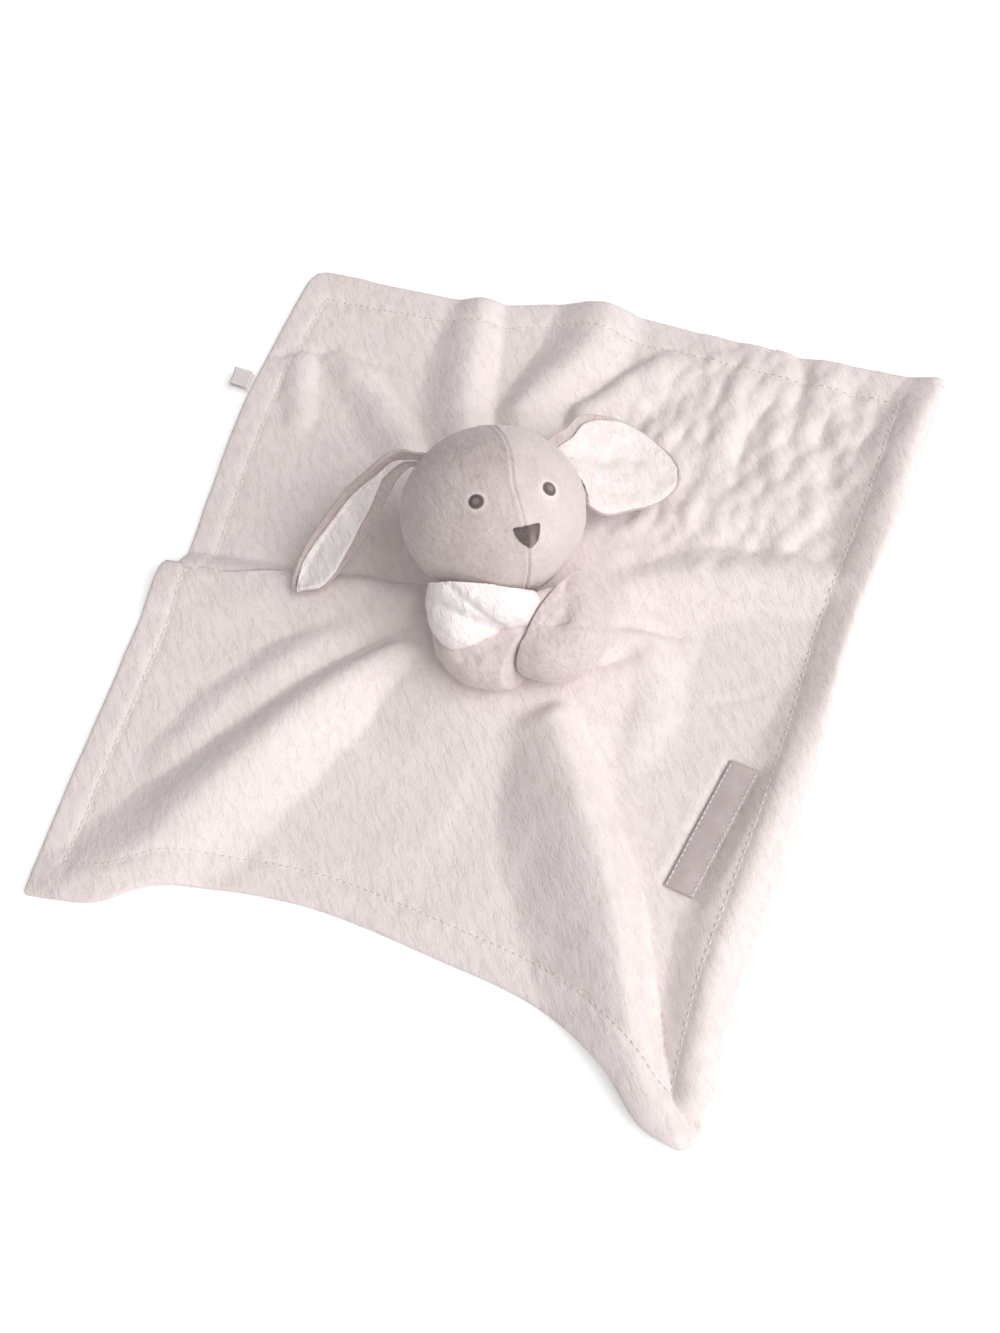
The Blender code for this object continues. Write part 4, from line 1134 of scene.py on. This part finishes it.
# balls along the middle of each cover and of the pale lining's lobes, from the shoulder to the paw, as
# (x, y, z, radius), and lines pressed into the cover: their places, depth and width
arms = {
    "right": {
        "cover": (((-0.0125, 0.0005, 0.0270, 0.0098), (-0.0115, -0.0105, 0.0260, 0.0124),
                   (-0.0115, -0.0185, 0.0255, 0.0132), (-0.0070, -0.0255, 0.0255, 0.0138),
                   (0.0000, -0.0300, 0.0255, 0.0138), (0.0085, -0.0325, 0.0260, 0.0132),
                   (0.0135, -0.0335, 0.0250, 0.0118)),
                  ((-0.0050, -0.0010, 0.0310, 0.0108), (0.0040, -0.0125, 0.0330, 0.0114),
                   (0.0130, -0.0185, 0.0340, 0.0104), (0.0200, -0.0195, 0.0340, 0.0096),
                   (0.0270, -0.0180, 0.0340, 0.0082))),
        "lining": (((-0.0085, -0.0025, 0.0490, 0.0085), (-0.0020, -0.0070, 0.0500, 0.0106),
                    (0.0040, -0.0120, 0.0480, 0.0114), (0.0105, -0.0170, 0.0450, 0.0108),
                    (0.0165, -0.0195, 0.0420, 0.0090)),
                   ((-0.0105, 0.0000, 0.0420, 0.0090), (-0.0110, -0.0070, 0.0400, 0.0110),
                    (-0.0100, -0.0145, 0.0390, 0.0112), (-0.0030, -0.0165, 0.0390, 0.0096),
                    (0.0040, -0.0175, 0.0385, 0.0073))),
        "creases": ((((-0.0150, -0.0290, 0.0365), (-0.0120, -0.0300, 0.0375), (-0.0100, -0.0325, 0.0370)),
                     0.0009, 0.0022),),
        "liningCreases": ((((-0.0080, -0.0065, 0.0595), (-0.0065, -0.0110, 0.0590),
                            (-0.0050, -0.0150, 0.0575), (-0.0010, -0.0210, 0.0530),
                            (0.0025, -0.0250, 0.0475), (0.0055, -0.0265, 0.0440)), 0.0013, 0.0022),),
        "meets": 1,
    },
    "left": {
        "cover": (((0.0380, -0.0135, 0.0290, 0.0106), (0.0390, -0.0225, 0.0285, 0.0122),
                   (0.0360, -0.0325, 0.0275, 0.0130), (0.0300, -0.0380, 0.0270, 0.0140),
                   (0.0225, -0.0380, 0.0270, 0.0136), (0.0160, -0.0350, 0.0270, 0.0122)),
                  ((0.0370, -0.0115, 0.0325, 0.0080), (0.0325, -0.0185, 0.0325, 0.0095),
                   (0.0275, -0.0240, 0.0325, 0.0105), (0.0225, -0.0290, 0.0315, 0.0105),
                   (0.0180, -0.0325, 0.0300, 0.0100))),
        "lining": (),
        "creases": ((((0.0195, -0.0315, 0.0405), (0.0235, -0.0320, 0.0405), (0.0270, -0.0330, 0.0400),
                      (0.0320, -0.0345, 0.0405)), 0.0018, 0.0012),
                    (((0.0380, -0.0175, 0.0400), (0.0350, -0.0210, 0.0400), (0.0305, -0.0250, 0.0410),
                      (0.0260, -0.0285, 0.0410), (0.0220, -0.0310, 0.0410)), 0.0015, 0.0012)),
        "meets": -1,
    },
}


def meltBalls(chains):
    form = bmesh.new()
    for chain in chains:
        for x, y, z, r in curveThrough(chain, 4):
            bmesh.ops.create_icosphere(form, subdivisions=3, radius=r, matrix=Matrix.Translation((x, y, z)))
    mesh = bpy.data.meshes.new("arm balls")
    form.to_mesh(mesh)
    form.free()
    melted = bpy.data.objects.new("arm balls", mesh)
    bpy.context.scene.collection.objects.link(melted)
    remesh = melted.modifiers.new("melt", "REMESH")
    remesh.mode = "VOXEL"
    remesh.voxel_size = armForm["voxel"]
    seen = bpy.context.evaluated_depsgraph_get()
    form = bmesh.new()
    form.from_mesh(melted.evaluated_get(seen).to_mesh())
    bpy.data.objects.remove(melted)
    bpy.data.meshes.remove(mesh)
    return form


def smoothForm(form, times):
    for _ in range(times):
        bmesh.ops.smooth_vert(form, verts=form.verts, factor=0.5,
                              use_axis_x=True, use_axis_y=True, use_axis_z=True)


def pressArm(places, arm):
    # keeps an arm out of the head's room, the other arm and the seat
    for _ in range(3):
        for middle, axes in headPlaces(headMoves["turns"]):
            places = outOfHead(places, armForm["headPlay"], middle, axes)
        side = np.array(pawsMeet["side"]) * arm["meets"]
        short = (places - np.array(pawsMeet["place"])) @ side - armForm["gap"]
        places = places - np.outer(np.minimum(short, 0), side)
        places[:, 2] = np.maximum(places[:, 2], armForm["seat"])
    return places


def pressedIn(places, creases):  # how deep the lines pressed into the cover are at these places
    depth = np.zeros(len(places))
    for points, deep, width in creases:
        line = curveThrough(points, 6)
        nearest = np.linalg.norm(places[:, None] - line[None], axis=2).min(axis=1)
        depth = np.maximum(depth, deep * np.exp(-((nearest / width) ** 2)))
    return depth


def makeArmPiece(name, chains, arm, sideName, look, replaced, coarse, fine, creases):
    form = meltBalls(chains)
    smoothForm(form, 2)
    places = pressArm(np.array([v.co for v in form.verts]), arm)
    for v, place in zip(form.verts, places):
        v.co = place
    smoothForm(form, 1)
    form.normal_update()
    places = np.array([v.co for v in form.verts])
    normals = np.array([v.normal for v in form.verts])
    nap = bumps(places, 0.0034, 41, 2) * fine + bumps(places, 0.011, 43, 2) * coarse
    places = pressArm(places + normals * (nap - pressedIn(places, creases))[:, None], arm)
    for v, place in zip(form.verts, places):
        v.co = place
    return finishPiece(name, form, look, f"arm_{sideName}", replaced)


def underChin(piece):  # gives the piece its own mesh
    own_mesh(piece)


def makeArm(sideName, arm):
    hidden = (f"arm_{sideName}_cover", f"arm_{sideName}_filling")
    if arm["lining"]:
        lining = makeArmPiece(f"arm_{sideName}_lining_plush", arm["lining"], arm, sideName,
                              looks["palerPlushForShade"], (f"arm_{sideName}_lining",),
                              0.0006, 0.00020, arm["liningCreases"])
        underChin(lining)
    else:
        hidden += (f"arm_{sideName}_lining",)
    cover = makeArmPiece(f"arm_{sideName}_body", arm["cover"], arm, sideName, looks["armVelour"],
                         hidden, 0.0006, 0.00010, arm["creases"])
    underChin(cover)


makeArm("right", arms["right"])
makeArm("left", arms["left"])
print("arms made")

# The label and the care tag

labelFabric = {
    "wall": 0.0006,
    "rise": 0.0007,
    "along": 96,
    "across": 22,
    "stitchPitch": 0.0026,
    "stitchLength": 0.0020,
    "stitchRadius": 0.00030,
    "stitchRise": 0.00055,
    "stitchAsideShare": 0.43,
}


def labelSpot(ahead, side):
    # a place over the cloth at these distances from the label's middle
    heading = labelPlace["heading"]
    x = labelPlace["centre"][0] + ahead * math.cos(heading) - side * math.sin(heading)
    y = labelPlace["centre"][1] + ahead * math.sin(heading) + side * math.cos(heading)
    return x, y


def makeLabel():
    m, n = labelFabric["along"], labelFabric["across"]
    form = bmesh.new()
    bmesh.ops.create_grid(form, x_segments=m, y_segments=n, size=0.5)
    grown = bmesh.ops.extrude_face_region(form, geom=form.faces[:])
    lower = {item for item in grown["geom"] if isinstance(item, bmesh.types.BMVert)}
    flat = np.array([v.co for v in form.verts])
    w = flat[:, 1]
    ahead, side = flat[:, 0] * labelPlace["length"], w * labelPlace["width"]
    x, y = labelSpot(ahead, side)
    pull = 0.0002 * np.cos(2 * np.pi * ahead / labelFabric["stitchPitch"]) * (abs(w) > 0.3)
    puff = labelFabric["rise"] * np.maximum(np.cos(np.pi * w), 0) ** 0.6
    wave = 0.0002 * bumps(np.column_stack([ahead, side, 0 * side]), 0.008, 3)
    z = clothLift(x, y) + blanketCut["wall"] + 0.0001 + wave + puff - pull
    for v, place in zip(form.verts, np.column_stack([x, y, z])):
        v.co = place
        v.co.z -= labelFabric["wall"] if v in lower else 0
    bmesh.ops.recalc_face_normals(form, faces=form.faces)
    return finishPiece("label_satin", form, looks["satin"], "blanket", ("label_patch",))


label = makeLabel()


def makeLabelStitches():
    places, normals, ways = [], [], []
    for side in (-labelFabric["stitchAsideShare"], labelFabric["stitchAsideShare"]):
        for k in range(int(labelPlace["length"] / labelFabric["stitchPitch"])):
            ahead = (k + 0.5) * labelFabric["stitchPitch"] - labelPlace["length"] / 2
            places.append((*labelSpot(ahead, side * labelPlace["width"]), 0))
            normals.append((0, 0, 1))
            ways.append((math.cos(labelPlace["heading"]), math.sin(labelPlace["heading"]), 0))
    places = np.array(places)
    places[:, 2] = clothLift(places[:, 0], places[:, 1]) + blanketCut["wall"] + labelFabric["stitchRise"]
    return sewnStitches("label_stitches", places, normals, ways, labelFabric["stitchLength"],
                        labelFabric["stitchRadius"], looks["labelThread"], "blanket")


labelStitches = makeLabelStitches()

tagFabric = {
    "hinge": (-0.06195, 0.18968, 0.00462),
    "way": (0.588, 0.809, 0),
    "width": 0.010,
    "length": 0.0112,
    "wall": 0.00055,
    "bend": 0.0009,
    "skew": 0.0022,
    "edgeCurl": 0.0012,
    "droop": 0.0008,
    "along": 48,
    "across": 20,
}


def makeCareTag():
    hinge = Vector(tagFabric["hinge"])
    way = Vector(tagFabric["way"]).normalized()
    out = Vector((-way.y, way.x, 0))
    form = bmesh.new()
    bmesh.ops.create_grid(form, x_segments=tagFabric["along"], y_segments=tagFabric["across"], size=0.5)
    for v in form.verts:
        u, w = v.co.x + 0.5, v.co.y
        reach = 2 * tagFabric["length"]
        run = u * reach
        half = tagFabric["length"] - tagFabric["bend"] * math.pi / 2
        if run < half:
            x, z = run, tagFabric["bend"]
        elif run > reach - half:
            x, z = reach - run, -tagFabric["bend"]
        else:
            angle = (run - half) / tagFabric["bend"]
            x, z = half + tagFabric["bend"] * math.sin(angle), tagFabric["bend"] * math.cos(angle)
        curl = tagFabric["edgeCurl"] * (w * 2) ** 2 * (x / reach * 2) - tagFabric["droop"] * x / reach
        skew = tagFabric["skew"] * (x / tagFabric["length"])
        v.co = hinge + out * x + way * (w * tagFabric["width"] + skew) + Vector((0, 0, z + curl))
    form.normal_update()
    bmesh.ops.solidify(form, geom=form.faces[:], thickness=tagFabric["wall"])
    bmesh.ops.recalc_face_normals(form, faces=form.faces)
    return finishPiece("care_tag_loop", form, looks["tape"], "tag", ("care_tag",))


careTag = makeCareTag()
print("labels sewn on")

# The floor

floorLook = {
    "size": 6.0,
    "colour": (1.0, 1.0, 1.0),
    "lift": 0.30,
    "farLift": 1.0,
    "near": 0.45,
    "far": 1.3,
}


def makeFloor():
    form = bmesh.new()
    bmesh.ops.create_grid(form, x_segments=1, y_segments=1, size=floorLook["size"] / 2)
    mesh = bpy.data.meshes.new("floor")
    form.to_mesh(mesh)
    form.free()
    floor = bpy.data.objects.new("floor", mesh)
    bpy.context.scene.collection.objects.link(floor)
    look = bpy.data.materials.new("white floor")
    look.use_nodes = True
    wire = Wire(look.node_tree)
    shader = look.node_tree.nodes["Principled BSDF"]
    shader.inputs["Base Color"].default_value = (*floorLook["colour"], 1)
    shader.inputs["Roughness"].default_value = 1.0
    shader.inputs["Specular IOR Level"].default_value = 0.0
    # the floor that the camera sees is lifted to white, more so away from the object and its shadow
    seen = wire.node("ShaderNodeLightPath", out=0) + wire.node("ShaderNodeLightPath", out=3)
    seen = seen + wire.node("ShaderNodeLightPath", out=6)
    place = wire.node("ShaderNodeTexCoord", out=3)
    away = wire.node("ShaderNodeVectorMath", {"operation": "LENGTH"}, {0: place}, 1)
    lift = spread(away, floorLook["near"], floorLook["far"], floorLook["lift"], floorLook["farLift"])
    look.node_tree.links.new((seen * lift).socket, shader.inputs["Emission Color"])
    shader.inputs["Emission Strength"].default_value = 1.0
    mesh.materials.append(look)


makeFloor()
print("floor laid")
